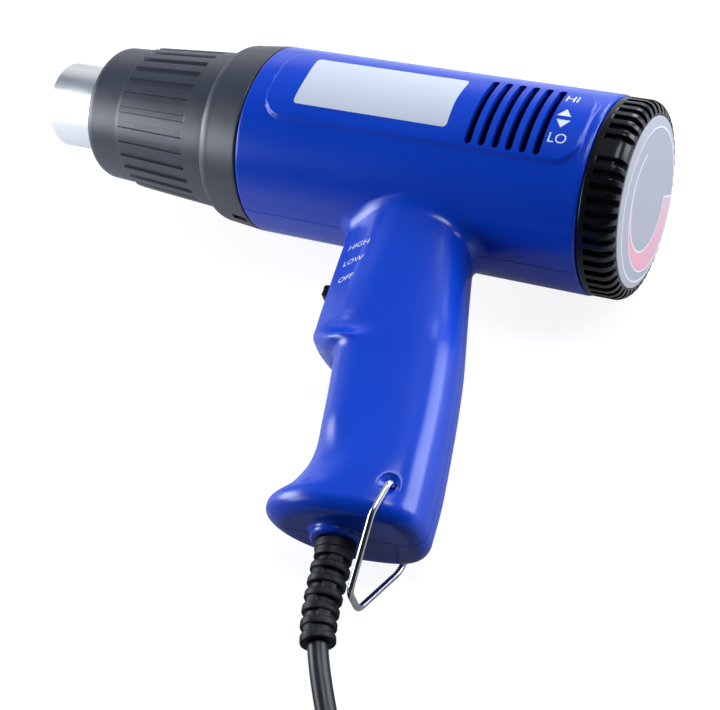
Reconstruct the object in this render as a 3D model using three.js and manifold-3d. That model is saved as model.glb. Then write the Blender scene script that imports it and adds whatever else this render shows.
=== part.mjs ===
// A pistol-grip hot air tool lying on its right side, with its cord coiled beside it.
// Tool frame: +X towards the dial, +Y towards the top of the barrel, +Z to the tool's left.
// All lengths are millimetres and all angles degrees.
import * as THREE from 'three';
import Module from 'manifold-3d';
import { mergeVertices } from 'three/addons/utils/BufferGeometryUtils.js';

const wasm = await Module();
wasm.setup();

// Clearances
const seatGap = 0.3;
const runGap = 0.35;
const partingGap = 0.3;

// Barrel of the two-part housing
const barrelRadius = 37;
const barrelLength = 138;
const barrelFront = -47;
const barrelEdge = 0.8;
const wall = 2.5;
const barrelRear = barrelFront + barrelLength;
const boreRadius = barrelRadius - wall;
const rearWallInside = barrelRear - wall;

// Raised side panel with the air inlet slots
const panelFrontInset = 8.5;
const panelRearInset = 3.5;
const panelHalfHeight = 16.7;
const panelCorner = 9;
const panelRise = 1.2;
const ventCount = 6;
const ventPitch = 5.2;
const ventWidth = 2.8;
const ventHalfSpan = 15.4;
const ventRearInset = 18.4;

// Handle: stations run down its raked axis, front and back are measured across it
const handleRake = 15.6;
const handleBottom = 167;
const handleFoot = 5.8;
const footTilt = 7.7;
const footStart = 130;
const frontFullness = 1.8;
const backFullness = 3.1;
const handleFront = [
  [24, -6.5], [50, -10.6], [78, -13.9], [87, -15], [91, -13.4], [96, -8.6], [99, -6], [107, -5.3],
  [133, -5.3], [144, -7.3], [149, -9.6], [154, -13.3], [159, -18.9], [168, -17.2],
];
const handleBack = [[24, 37.7], [66, 39.2], [105, 41], [145, 39.7], [168, 37.1]];
const handleHalf = [[24, 17.2], [66, 18], [105, 17.6], [130, 17.8], [150, 19], [168, 19.4]];
const blendStart = 47;
const blendRun = 13;
const blendReach = 7;
const blendSide = 4;

// Housing screws, placed as [along the barrel, up] and as [down the handle, across it]
const screwRadius = 1.5;
const screwHeadRadius = 2.9;
const screwHeadHeight = 2.2;
const screwSeat = 8;
const screwReach = 9;
const postWall = 1.5;
const barrelScrews = [[10, 27], [62, 27], [62, -27]];
const footScrewRise = 26;
const handleScrews = [[96, 27], [handleBottom - footScrewRise, 28]];

// Hot air tube and its heater
const tubeRadius = 17.5;
const tubeWall = 0.8;
const tubeReach = 103;
const flangeThickness = 1;
const linerWall = 0.6;
const linerRecess = 9;
const formerPlate = 1;
const formerRecess = 3;
const windingTurns = 7;
const windingPitch = 7.5;
const windingRadius = 12;
const windingWire = 0.6;
const fuseRadius = 2;
const fuseLength = 9;
const baseThickness = 6;
const baseHoles = 6;
const baseHoleRadius = 3.2;

// Guard sleeve and the collar that carries it
const guardFrontRadius = 27.3;
const guardBandStart = 16.3;
const guardBandRise = 1.1;
const guardTaper = 0.6;
const guardRearRadius = 31.9;
const guardLength = 58.4;
const guardWall = 2.4;
const guardMouth = 21;
const guardEdge = 1.8;
const grooveCount = 30;
const grooveWidth = 2.6;
const grooveDepth = 1.1;
const grooveLength = 32.5;
const collarLength = 18.3;
const collarFrontRadius = 33.4;
const collarCrest = 35.7;
const collarShoulder = 4.6;
const collarBore = 26;
const spigotLength = 7;
const latchWidth = 3.6;
const latchLength = 7;
const latchDepth = 1.4;
const latchAngle = -103;

// Fan and motor
const fanRecess = 14;
const fanLength = 13;
const fanHubRadius = 9;
const fanTipGap = 2.5;
const fanBlades = 7;
const fanBladeThickness = 1.4;
const fanTwist = 24;
const fanWash = 17;
const fanBladeInset = 2;
const shaftRadius = 1.6;
const mountGap = 4;
const mountThickness = 3;
const mountRim = 4;
const mountSpokes = 4;
const mountSpokeWidth = 6;
const motorRadius = 13.5;
const motorLength = 38;
const motorBoss = 5;

// Speed control and dial
const boardRadius = 22;
const boardThickness = 1.6;
const potRadius = 8.5;
const potDepth = 8;
const bushingRadius = 3.8;
const potShaftRadius = 2.6;
const dialRadius = 36.6;
const dialDepth = 13.4;
const dialShell = 1.8;
const dialWeb = 2.2;
const dialRim = 31.8;
const dialRound = 4.6;
const dialBand = 2.8;
const dialRibs = 48;
const dialSlotWidth = 2.5;
const dialSlotDepth = 1.7;
const dialIndexAngle = -12.4;
const dialHubRadius = 6.5;
const faceThickness = 1.1;

// Slide switch in the handle's front
const switchOff = 66.5;
const switchTravel = 15.6;
const nubLength = 5;
const nubWidth = 5;
const nubProud = 2.6;
const nubRound = 1.6;
const sliderLength = 21;
const sliderThickness = 2;
const sliderLip = 2;
const switchDepth = 12;
const switchLength = 26;
const switchWidth = 14;
const switchRib = 1.6;

// Hanging bail
const bailWire = 1.1;
const bailPivotRise = 9.5;
const bailPivotAcross = 28.2;
const bailLean = 19.5;
const bailEndSide = 11;
const bailLeg = 12.6;
const bailLength = 35;
const bailTipHalf = 5.8;
const bailBend = 2.6;
const dimpleRadius = 3.4;
const dimpleDepth = 1.5;

// Strain relief, cord inside the handle and its clamp
const reliefAcross = 7.2;
const reliefNeck = 6.2;
const reliefFlange = 9;
const reliefFlangeThickness = 2.5;
const reliefBossWall = 2.6;
const reliefBoss = 3;
const reliefCollar = 6.7;
const reliefCollarLength = 6;
const reliefRibs = 6;
const reliefPitch = 4.9;
const reliefRibLength = 2.7;
const reliefRoot = 4.9;
const reliefTaper = 0.9;
const reliefSwing = 7;
const cordRadius = 3.4;
const tailLength = 44;
const clampRise = 20;
const clampWidth = 8;
const clampThickness = 3;
const clampScrewRadius = 1.2;
const clampScrewHead = 2.2;
const clampScrewHeadHeight = 1.5;
const clampScrewReach = 8;
const clampPost = 2.6;

// Cord outside the tool: a free stretch, a tied coil on the table and a mains plug
const coilOuter = 54;
const coilLoops = 6.375;
const coilEntry = 45;
const coilGap = 0.5;
const coilLead = 8;
const coilTail = 20;
const cordRun = 85;
const cordDrift = 38;
const cordStartBend = 14;
const cordEndBend = 40;
const tieWidth = 8;
const tieThickness = 1.1;
const tieSlack = 0.9;
const plugNeck = 5.4;
const plugNeckFlare = 0.8;
const plugNeckLength = 16;
const plugShoulder = 3.2;
const plugHeadLength = 26;
const plugHalfWidth = 12.5;
const plugHalfHeight = 13;
const plugEdge = 1.5;
const bladeThickness = 1.5;
const bladeWidth = 6.3;
const bladeReach = 17.9;
const bladeSeat = 6;
const bladeSpacing = 12.7;
const bladeRaise = 3;
const pinRadius = 2.4;
const pinReach = 20;
const pinDrop = 11.9;

const rad = THREE.MathUtils.degToRad;

// Solids and meshes

// Merges shared corners, drops flat triangles and turns the faces outwards
function closed(source) {
  const bare = new THREE.BufferGeometry();
  bare.setAttribute('position', source.getAttribute('position').clone());
  if (source.index) bare.setIndex(source.index.clone());
  const merged = mergeVertices(bare, 1e-4);
  const place = merged.getAttribute('position');
  const kept = [];
  let volume = 0;
  const corner = [0, 1, 2].map(() => new THREE.Vector3());
  for (let i = 0; i < merged.index.count; i += 3) {
    const ids = [0, 1, 2].map((k) => merged.index.getX(i + k));
    if (ids[0] === ids[1] || ids[1] === ids[2] || ids[0] === ids[2]) continue;
    ids.forEach((id, k) => corner[k].fromBufferAttribute(place, id));
    volume += corner[0].dot(corner[1].clone().cross(corner[2]));
    kept.push(ids);
  }
  if (volume < 0) kept.forEach((ids) => ids.reverse());
  merged.setIndex(kept.flat());
  return merged;
}

function solid(source) {
  const whole = closed(source);
  return new wasm.Manifold(new wasm.Mesh({
    numProp: 3,
    vertProperties: new Float32Array(whole.getAttribute('position').array),
    triVerts: new Uint32Array(whole.index.array),
  }));
}

function shapeOf(body) {
  const mesh = body.getMesh();
  const out = new THREE.BufferGeometry();
  out.setAttribute('position', new THREE.BufferAttribute(new Float32Array(mesh.vertProperties), 3));
  out.setIndex(new THREE.BufferAttribute(new Uint32Array(mesh.triVerts), 1));
  return out;
}

const joined = (bodies) => bodies.reduce((sum, body) => sum.add(body));

// A revolve about the X axis from [radius, x] points
function revolve(profile, segments = 48) {
  const points = profile.map(([radius, x]) => new THREE.Vector2(radius, x));
  return new THREE.LatheGeometry(points, segments).rotateZ(-Math.PI / 2);
}

// A revolve whose profile closes on itself
const ring = (profile, segments) => revolve([...profile, profile[0]], segments);

// A straight round bar along X between two stations
const bar = (radius, from, to, segments = 24) =>
  revolve([[0, from], [radius, from], [radius, to], [0, to]], segments);

// A round bar along Z at a place in the tool's side view
function post(radius, [x, y], from, to, segments = 12) {
  const length = to - from;
  const body = new THREE.CylinderGeometry(radius, radius, length, segments);
  return body.rotateX(Math.PI / 2).translate(x, y, (from + to) / 2);
}

const box = (size, centre) => new THREE.BoxGeometry(...size).translate(...centre);

// Quarter-round points from one [radius, x] point, turning from one angle to another
function arc([radius, x], size, from, to, steps = 4) {
  return Array.from({ length: steps + 1 }, (_, i) => {
    const angle = rad(from + ((to - from) * i) / steps);
    return [radius + size * Math.sin(angle), x + size * Math.cos(angle)];
  });
}

// A smooth value through [station, value] points
function through(points) {
  const slope = points.map((_, i) => {
    const a = points[Math.max(i - 1, 0)];
    const b = points[Math.min(i + 1, points.length - 1)];
    return (b[1] - a[1]) / (b[0] - a[0]);
  });
  return (station) => {
    let i = 0;
    while (i < points.length - 2 && station > points[i + 1][0]) i += 1;
    const [[x0, y0], [x1, y1]] = [points[i], points[i + 1]];
    const run = x1 - x0;
    const t = THREE.MathUtils.clamp((station - x0) / run, 0, 1);
    const ease = t * t * (3 - 2 * t);
    return y0 * (1 - ease) + y1 * ease
      + run * (slope[i] * t * (1 - t) * (1 - t) - slope[i + 1] * t * t * (1 - t));
  };
}

// A closed skin over rings of points, one ring per station, with flat ends
function loft(rings) {
  const count = rings[0].length;
  const points = rings.flat();
  const faces = [];
  for (let r = 0; r + 1 < rings.length; r += 1) {
    for (let i = 0; i < count; i += 1) {
      const j = (i + 1) % count;
      const [a, b, c, d] = [r * count + i, r * count + j, (r + 1) * count + i, (r + 1) * count + j];
      faces.push(a, b, c, b, d, c);
    }
  }
  const last = (rings.length - 1) * count;
  for (let i = 1; i + 1 < count; i += 1) {
    faces.push(0, i + 1, i, last, last + i, last + i + 1);
  }
  const skin = new THREE.BufferGeometry().setFromPoints(points);
  skin.setIndex(faces);
  return skin;
}

// A tube of round section along points, with flat ends square to the path
function tube(points, radius, sides, across) {
  const rings = points.map((point, i) => {
    const ahead = points[Math.min(i + 1, points.length - 1)];
    const behind = points[Math.max(i - 1, 0)];
    const along = ahead.clone().sub(behind).normalize();
    const side = new THREE.Vector3().crossVectors(across, along).normalize();
    const up = new THREE.Vector3().crossVectors(along, side);
    return Array.from({ length: sides }, (_, k) => {
      const angle = (2 * Math.PI * (k + 0.5)) / sides;
      return point.clone()
        .addScaledVector(side, radius * Math.cos(angle))
        .addScaledVector(up, radius * Math.sin(angle));
    });
  });
  return loft(rings);
}

// A shape in the side view, extruded along Z
function plate(shape, from, to, curveSegments = 6) {
  const depth = to - from;
  return new THREE.ExtrudeGeometry(shape, { depth, bevelEnabled: false, curveSegments })
    .translate(0, 0, from);
}

function roundedOutline(halfWidth, halfHeight, corner) {
  const outline = new THREE.Shape();
  const [x, y] = [halfWidth - corner, halfHeight - corner];
  outline.absarc(x, y, corner, 0, Math.PI / 2);
  outline.absarc(-x, y, corner, Math.PI / 2, Math.PI);
  outline.absarc(-x, -y, corner, Math.PI, 1.5 * Math.PI);
  outline.absarc(x, -y, corner, 1.5 * Math.PI, 2 * Math.PI);
  outline.closePath();
  return outline;
}

const tool = new THREE.Group();
const handleFrame = new THREE.Group();
handleFrame.rotation.z = rad(handleRake);
tool.add(handleFrame);

function finish(color, roughness, metalness) {
  return new THREE.MeshStandardMaterial({ color, roughness, metalness });
}
const blue = finish(0x1440b4, 0.3, 0);
const black = finish(0x14151a, 0.35, 0);
const darkGrey = finish(0x3b3e48, 0.55, 0);
const rubber = finish(0x1c1d22, 0.7, 0);
const steel = finish(0xc9ccd2, 0.25, 1);
const zinc = finish(0x8f9298, 0.4, 1);
const mica = finish(0xc7b79a, 0.8, 0);
const nichrome = finish(0x7d746c, 0.45, 1);
const fanPlastic = finish(0x2e3036, 0.5, 0);
const board = finish(0x2f5a3a, 0.6, 0);
const faceGrey = finish(0x9a9dab, 0.3, 0);

function place(name, shape, material, group = tool) {
  const mesh = new THREE.Mesh(closed(shape), material);
  mesh.name = name;
  group.add(mesh);
  return mesh;
}

// Handle skin: a rounded section lofted down the raked axis
const frontAt = through(handleFront);
const backAt = through(handleBack);
const halfAt = through(handleHalf);

function handleSection(down, inset, sides) {
  const rise = THREE.MathUtils.clamp((blendStart - down) / blendRun, 0, 1);
  const flare = 1 - Math.sqrt(1 - rise * rise);
  const front = frontAt(down) + inset - blendReach * flare;
  const back = backAt(down) - inset + blendReach * flare;
  const half = halfAt(down) - inset + blendSide * flare;
  return Array.from({ length: sides }, (_, i) => {
    const angle = (2 * Math.PI * i) / sides;
    const fullness = Math.cos(angle) < 0 ? frontFullness : backFullness;
    const bulge = (value) => Math.sign(value) * Math.abs(value) ** (2 / fullness);
    const across = (front + back) / 2 + ((back - front) / 2) * bulge(Math.cos(angle));
    return [across, half * bulge(Math.sin(angle))];
  });
}

// How far the handle's side stands out at a place behind its middle
function handleSide(down, across) {
  const [front, back] = [frontAt(down), backAt(down)];
  const reach = Math.abs(across - (front + back) / 2) / ((back - front) / 2);
  return halfAt(down) * (1 - reach ** backFullness) ** (1 / backFullness);
}

// The foot slopes, so its back sits lower than its front
const footSlope = Math.tan(rad(footTilt));
function footDrop(down, across) {
  const share = THREE.MathUtils.clamp((down - footStart) / (handleBottom - footStart), 0, 1);
  return footSlope * share * (across - reliefAcross);
}

function handleSkin(inset, sides, longestStep) {
  const bottom = handleBottom - inset;
  const foot = Math.max(handleFoot - inset, 1);
  const marks = handleFront.map(([down]) => down).filter((down) => down < bottom - foot);
  const ends = [...marks.slice(1), bottom - foot];
  const straight = marks.flatMap((mark, i) => {
    const steps = Math.ceil((ends[i] - mark) / longestStep);
    return Array.from({ length: steps }, (_, k) => [mark + ((ends[i] - mark) * k) / steps, 0]);
  });
  const rounded = [0, 30, 60, 90].map((angle) => [
    bottom - foot + foot * Math.sin(rad(angle)),
    foot * (1 - Math.cos(rad(angle))),
  ]);
  const rings = [...straight, ...rounded].map(([down, tuck]) =>
    handleSection(down, inset + tuck, sides)
      .map(([across, side]) => new THREE.Vector3(across, -down - footDrop(down, across), side)));
  return loft(rings).rotateZ(rad(handleRake));
}

// A handle place in the side view, as a place in the tool's side view
function handlePlace(down, across) {
  const turned = new THREE.Vector2(across, -down).rotateAround(new THREE.Vector2(), rad(handleRake));
  return [turned.x, turned.y];
}

// Housing: outer form, hollow, posts and openings, then split into two halves
const barrelFacets = 36;
const hollowSides = 16;
const outside = 2 * barrelRadius;
const barrelForm = solid(revolve([
  [0, barrelFront],
  [barrelRadius - barrelEdge, barrelFront],
  [barrelRadius, barrelFront + barrelEdge],
  [barrelRadius, barrelRear - barrelEdge],
  [barrelRadius - barrelEdge, barrelRear],
  [0, barrelRear],
], barrelFacets));
const panelLength = barrelLength - panelFrontInset - panelRearInset;
const panelCentre = barrelFront + panelFrontInset + panelLength / 2;
const panelOutline = roundedOutline(panelLength / 2, panelHalfHeight, panelCorner);
const panelForm = solid(plate(panelOutline, -outside, outside).translate(panelCentre, 0, 0))
  .intersect(solid(bar(barrelRadius + panelRise, barrelFront, barrelRear, barrelFacets)));
const handleForm = solid(handleSkin(0, 20, 13));
const bossStart = handleBottom - handleFoot;
const reliefBossRadius = reliefNeck + seatGap + reliefBossWall;
const bossForm = solid(bar(reliefBossRadius, bossStart, handleBottom + reliefBoss, 28)
  .rotateZ(-Math.PI / 2).translate(reliefAcross, 0, 0).rotateZ(rad(handleRake)));
const bore = solid(bar(boreRadius, barrelFront - wall, rearWallInside, barrelFacets));
const outerForm = joined([barrelForm, panelForm, handleForm, bossForm]);
const hollow = joined([bore, solid(handleSkin(wall, hollowSides, 20))]);

const vents = Array.from({ length: ventCount }, (_, i) => {
  const x = barrelRear - ventRearInset - i * ventPitch;
  const slot = roundedOutline(ventWidth / 2, ventHalfSpan, ventWidth / 2);
  return solid(plate(slot, -outside, outside, 1).translate(x, 0, 0));
});

const faceRun = switchTravel + nubLength;
const faceTop = switchOff - switchTravel - nubLength / 2;
const faceDrop = frontAt(faceTop + faceRun) - frontAt(faceTop);
const faceTilt = Math.atan2(faceDrop, faceRun);
const switchFrame = new THREE.Group();
switchFrame.position.set(frontAt(switchOff), -switchOff, 0);
switchFrame.rotation.z = faceTilt;
handleFrame.add(switchFrame);
switchFrame.updateWorldMatrix(true, false);
const inSwitchFrame = (shape) => shape.applyMatrix4(switchFrame.matrixWorld);

const slotRun = faceRun + 2 * runGap;
const slotCentre = switchTravel / 2;
const switchSlot = solid(inSwitchFrame(
  box([4 * wall, slotRun, nubWidth + 2 * runGap], [0, slotCentre, 0]),
));
const sliderHalf = nubWidth / 2 + sliderLip;
const hollowSection = handleSection(switchOff, wall, hollowSides);
const [hollowTip, hollowNext] = [0, 1].map((step) => hollowSection[hollowSides / 2 + step]);
const wallBow = (sliderHalf * (hollowNext[0] - hollowTip[0])) / Math.abs(hollowNext[1]);
const sliderInside = wall + wallBow + runGap;
const switchInside = sliderInside + sliderThickness + runGap;
const ribSpan = 2 * boreRadius;
const switchPocket = solid(inSwitchFrame(box(
  [switchDepth + 2 * seatGap, switchLength + 2 * seatGap, switchWidth + 2 * seatGap],
  [switchInside + switchDepth / 2, slotCentre, 0],
)));
const switchRibs = [-1, 1].map((end) => solid(inSwitchFrame(box(
  [switchDepth, switchRib, ribSpan],
  [switchInside + switchDepth / 2, slotCentre + (end * switchLength) / 3, 0],
))));
const ribRoom = solid(handleSkin(wall / 2, hollowSides, 20));
const switchHolder = joined(switchRibs).intersect(ribRoom).subtract(switchPocket);

const reliefHole = solid(bar(reliefNeck + seatGap, bossStart - outside, handleBottom + outside, 28)
  .rotateZ(-Math.PI / 2).translate(reliefAcross, 0, 0).rotateZ(rad(handleRake)));
const reliefCut = reliefHole.intersect(solid(
  box([outside, outside, outside], [0, -handleBottom, 0]).rotateZ(rad(handleRake)),
));

const bailPivotDown = handleBottom - bailPivotRise;
const pivot = handlePlace(bailPivotDown, bailPivotAcross);
const pivotHole = solid(post(bailWire + runGap, pivot, -outside, outside, 16));
const pivotSide = handleSide(bailPivotDown, bailPivotAcross);
const dimpleBall = (dimpleRadius ** 2 + dimpleDepth ** 2) / (2 * dimpleDepth);
const dimples = [-1, 1].map((side) => solid(
  new THREE.SphereGeometry(dimpleBall, 16, 12)
    .translate(pivot[0], pivot[1], side * (pivotSide - dimpleDepth + dimpleBall)),
));

const potHole = solid(bar(bushingRadius + seatGap, rearWallInside - wall, barrelRear + wall, 24));
const shell = outerForm.subtract(hollow).add(switchHolder);
const openings = joined([...vents, switchSlot, reliefCut, pivotHole, ...dimples, potHole]);

const screwPlaces = [
  ...barrelScrews,
  ...handleScrews.map(([down, across]) => handlePlace(down, across)),
];
const headWell = screwHeadRadius + seatGap;
const postRadius = headWell + postWall;
const clampDown = handleBottom - clampRise;
const clampPlaces = [-1, 1].map((end) =>
  handlePlace(clampDown, reliefAcross + end * (cordRadius + seatGap + clampPost)));
const clampSeat = -cordRadius;

function half(side) {
  const room = solid(box([8 * outside, 8 * outside, outside], [0, 0, side * (outside + partingGap) / 2]));
  const span = [0, side * outside].sort((a, b) => a - b);
  const posts = screwPlaces.map((spot) => solid(post(postRadius, spot, ...span, 8)));
  const wells = screwPlaces.map((spot) => {
    const shaftWell = solid(post(screwRadius + seatGap, spot, -outside, screwReach + seatGap, 10));
    return shaftWell.add(solid(post(headWell, spot, -outside, -screwSeat, 12)));
  });
  const grown = shell.add(joined(posts).intersect(outerForm)).intersect(room);
  return grown.subtract(joined([...wells, openings]));
}

const clampPosts = clampPlaces.map((spot) =>
  solid(post(clampPost, spot, clampSeat + seatGap, outside)).intersect(ribRoom)
    .subtract(solid(post(clampScrewRadius + seatGap, spot, -outside, clampScrewReach, 12))));
place('housing_left', shapeOf(joined([half(1), ...clampPosts])), blue);
place('housing_right', shapeOf(half(-1)), blue);

screwPlaces.forEach((spot, i) => {
  const seat = -screwSeat - seatGap;
  const shank = solid(post(screwRadius, spot, seat - screwHeadHeight / 2, screwReach, 8));
  const head = solid(post(screwHeadRadius, spot, seat - screwHeadHeight, seat, 12));
  place(`housing_screw_${i + 1}`, shapeOf(head.add(shank)), zinc);
});

// Hot air tube with its rear flange, and the guard and collar round it
const tubeFront = barrelFront - tubeReach;
const collarFront = barrelFront - collarLength;
const flangeFront = collarFront + spigotLength;
const flangeRear = flangeFront + flangeThickness;
const flangeRadius = collarBore - seatGap;
const tubeBore = tubeRadius - tubeWall;
place('nozzle_tube', ring([
  [tubeBore, tubeFront], [tubeRadius, tubeFront], [tubeRadius, flangeFront],
  [flangeRadius, flangeFront], [flangeRadius, flangeRear], [tubeBore, flangeRear],
], 30), steel);

const guardRear = collarFront - seatGap;
const guardFront = guardRear - guardLength;
const bandFront = guardFront + guardBandStart;
const guardBandRadius = guardFrontRadius + guardTaper;
const guardBoreRear = guardRearRadius - guardWall;
const guardBoreFront = guardFrontRadius - guardWall;
const guardForm = solid(ring([
  [guardMouth, guardFront],
  ...arc([guardFrontRadius - guardEdge, guardFront + guardEdge], guardEdge, 180, 90, 2),
  [guardBandRadius, bandFront],
  [guardBandRadius + guardBandRise, bandFront + guardBandRise / 2],
  [guardRearRadius, guardRear],
  [guardBoreRear, guardRear],
  [guardBoreFront, guardFront + guardWall],
  [guardMouth, guardFront + guardWall],
], grooveCount));
const grooveRise = Math.atan2(
  guardRearRadius - guardBandRadius - guardBandRise,
  guardLength - guardBandStart,
);
const grooves = Array.from({ length: grooveCount }, (_, i) => {
  const cut = box(
    [grooveLength + guardBandRise, grooveWidth, 2 * grooveDepth],
    [(grooveLength - guardBandRise) / 2, 0, 0],
  );
  cut.rotateY(-grooveRise).translate(bandFront, 0, guardBandRadius + guardBandRise);
  return solid(cut.rotateX((2 * Math.PI * i) / grooveCount));
});
place('nozzle_guard', shapeOf(guardForm.subtract(joined(grooves))), darkGrey);

const collarRear = barrelFront - seatGap;
const guardSpigot = guardBoreRear - seatGap;
const spigotTaper = (guardBoreRear - guardBoreFront) * (spigotLength / guardLength);
const shoulder = Array.from({ length: 4 }, (_, i) => {
  const angle = (Math.PI / 2) * (i / 3);
  return [
    collarFrontRadius + (collarCrest - collarFrontRadius) * Math.sin(angle),
    collarFront + collarShoulder * (1 - Math.cos(angle)),
  ];
});
const collarForm = solid(ring([
  [guardSpigot - spigotTaper - seatGap, collarFront - spigotLength],
  [guardSpigot, collarFront],
  ...shoulder,
  [barrelRadius, collarRear],
  [boreRadius - seatGap, collarRear],
  [boreRadius - seatGap, barrelFront + spigotLength],
  [collarBore, barrelFront + spigotLength],
  [collarBore, collarFront - spigotLength],
], barrelFacets));
const latch = solid(box([latchLength, latchWidth, 2 * latchDepth],
  [collarRear - latchLength / 2, 0, barrelRadius - latchDepth / 2]).rotateX(-rad(latchAngle)));
place('guard_collar', shapeOf(collarForm.subtract(latch)), darkGrey);

// Heater: a former with its winding inside an insulating liner, on a ceramic base
const baseFront = flangeRear + seatGap;
const baseRear = baseFront + baseThickness;
const linerRadius = tubeBore - seatGap;
const linerFront = tubeFront + linerRecess;
const heaterRear = flangeRear;
place('heater_liner', ring([
  [linerRadius - linerWall, linerFront], [linerRadius, linerFront],
  [linerRadius, heaterRear], [linerRadius - linerWall, heaterRear],
], 30), mica);

const formerHalf = windingRadius - windingWire - seatGap;
const formerFront = linerFront + formerRecess;
const formerLength = heaterRear - formerFront;
const formerMiddle = formerFront + formerLength / 2;
const formerPlates = [[formerHalf, formerPlate / 2], [formerPlate / 2, formerHalf]].map(([y, z]) =>
  solid(box([formerLength, 2 * y, 2 * z], [formerMiddle, 0, 0])));
place('heater_former', shapeOf(joined(formerPlates)), mica);

function windingPoints() {
  const stepsPerTurn = 8;
  const start = formerMiddle - (windingTurns * windingPitch) / 2;
  const points = Array.from({ length: windingTurns * stepsPerTurn + 1 }, (_, i) => {
    const angle = (2 * Math.PI * (i + 0.5)) / stepsPerTurn;
    const reach = windingRadius / Math.cos(Math.PI / stepsPerTurn);
    const x = start + (windingPitch * i) / stepsPerTurn;
    return new THREE.Vector3(x, reach * Math.cos(angle), reach * Math.sin(angle));
  });
  return points;
}
place('heating_coil', tube(windingPoints(), windingWire, 4, new THREE.Vector3(1, 0, 0)), nichrome);

const fuseSide = formerPlate / 2 + seatGap + fuseRadius;
place('thermal_fuse',
  bar(fuseRadius, formerFront + linerRecess, formerFront + linerRecess + fuseLength, 12)
    .translate(0, fuseSide, fuseSide), zinc);

const baseHoleCircle = (formerHalf + flangeRadius) / 2;
const airHoles = Array.from({ length: baseHoles }, (_, i) =>
  solid(bar(baseHoleRadius, baseFront - wall, baseRear + wall, 8)
    .translate(0, baseHoleCircle - baseHoleRadius, 0)
    .rotateX((2 * Math.PI * i) / baseHoles)));
const baseDisc = solid(ring([
  [fuseRadius, baseFront], [flangeRadius, baseFront], [flangeRadius, baseRear], [fuseRadius, baseRear],
], 24));
place('heater_base', shapeOf(baseDisc.subtract(joined(airHoles))), mica);

// Fan on the motor's shaft, and the spider that carries the motor
const fanFront = barrelFront + fanRecess;
const fanRear = fanFront + fanLength;
const fanTip = boreRadius - fanTipGap;
const hubBore = shaftRadius + seatGap;
const fanHub = solid(ring([
  [hubBore, fanFront], [fanHubRadius / 2, fanFront], [fanHubRadius, fanFront + fanLength / 3],
  [fanHubRadius, fanRear], [hubBore, fanRear],
], 14));
const bladeRoot = fanHubRadius - fanBladeThickness;
const bladeRings = [0, 1 / 2, 1].map((share) => {
  const reach = bladeRoot + (fanTip - bladeRoot) * share;
  const turn = rad(fanTwist + fanWash * share);
  const length = (fanLength / 2 - fanBladeInset) / Math.cos(turn);
  const corners = [[-1, -1], [1, -1], [1, 1], [-1, 1]];
  return corners.map(([along, thick]) => {
    const spot = new THREE.Vector2(along * length, (thick * fanBladeThickness) / 2);
    spot.rotateAround(new THREE.Vector2(), turn);
    return new THREE.Vector3(spot.x + (fanFront + fanRear) / 2, spot.y, reach);
  });
});
const blades = Array.from({ length: fanBlades }, (_, i) =>
  solid(loft(bladeRings).rotateX((2 * Math.PI * i) / fanBlades)));
const fanRoom = solid(ring([
  [hubBore, fanFront], [fanTip, fanFront], [fanTip, fanRear], [hubBore, fanRear],
], 21));
place('fan_impeller', shapeOf(joined([fanHub, ...blades]).intersect(fanRoom)), fanPlastic);

const mountFront = fanRear + mountGap;
const mountRear = mountFront + mountThickness;
const motorFront = mountRear + seatGap;
const motorRear = motorFront + motorLength;
const mountRadius = boreRadius - seatGap;
const mountRing = solid(ring([
  [mountRadius - mountRim, mountFront], [mountRadius, mountFront],
  [mountRadius, mountRear], [mountRadius - mountRim, mountRear],
], 24));
const spokeLength = mountRadius - mountRim / 2;
const mountMiddle = (mountFront + mountRear) / 2;
const spokes = Array.from({ length: mountSpokes }, (_, i) =>
  solid(box([mountThickness, mountSpokeWidth, spokeLength], [mountMiddle, 0, spokeLength / 2])
    .rotateX((2 * Math.PI * (i + 0.5)) / mountSpokes)));
const mountPlate = solid(bar(motorRadius, mountFront, mountRear, 24));
const mountHole = solid(bar(motorBoss, mountFront - wall, mountRear + wall, 16));
place('motor_mount', shapeOf(joined([mountRing, mountPlate, ...spokes]).subtract(mountHole)), black);

place('motor', ring([
  [shaftRadius + runGap, motorFront - mountThickness / 2],
  [motorBoss - seatGap, motorFront - mountThickness / 2],
  [motorBoss - seatGap, motorFront],
  [motorRadius, motorFront], [motorRadius, motorRear],
  [motorBoss, motorRear], [motorBoss, motorRear + mountThickness],
  [shaftRadius + runGap, motorRear + mountThickness],
], 18), zinc);
place('motor_shaft', bar(shaftRadius, fanFront - shaftRadius, motorRear + 2 * mountThickness, 12), steel);

// Speed control behind the dial
const potRear = rearWallInside - seatGap;
const potFront = potRear - potDepth;
const bushingEnd = barrelRear + runGap + shaftRadius;
const shaftBore = potShaftRadius + runGap;
place('potentiometer', revolve([
  [0, potFront], [potRadius, potFront], [potRadius, potRear], [bushingRadius, potRear],
  [bushingRadius, bushingEnd], [shaftBore, bushingEnd], [shaftBore, potFront + wall], [0, potFront + wall],
], 14), zinc);
const boardRear = potFront - seatGap;
place('control_board', bar(boardRadius, boardRear - boardThickness, boardRear, 28), board);

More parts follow.
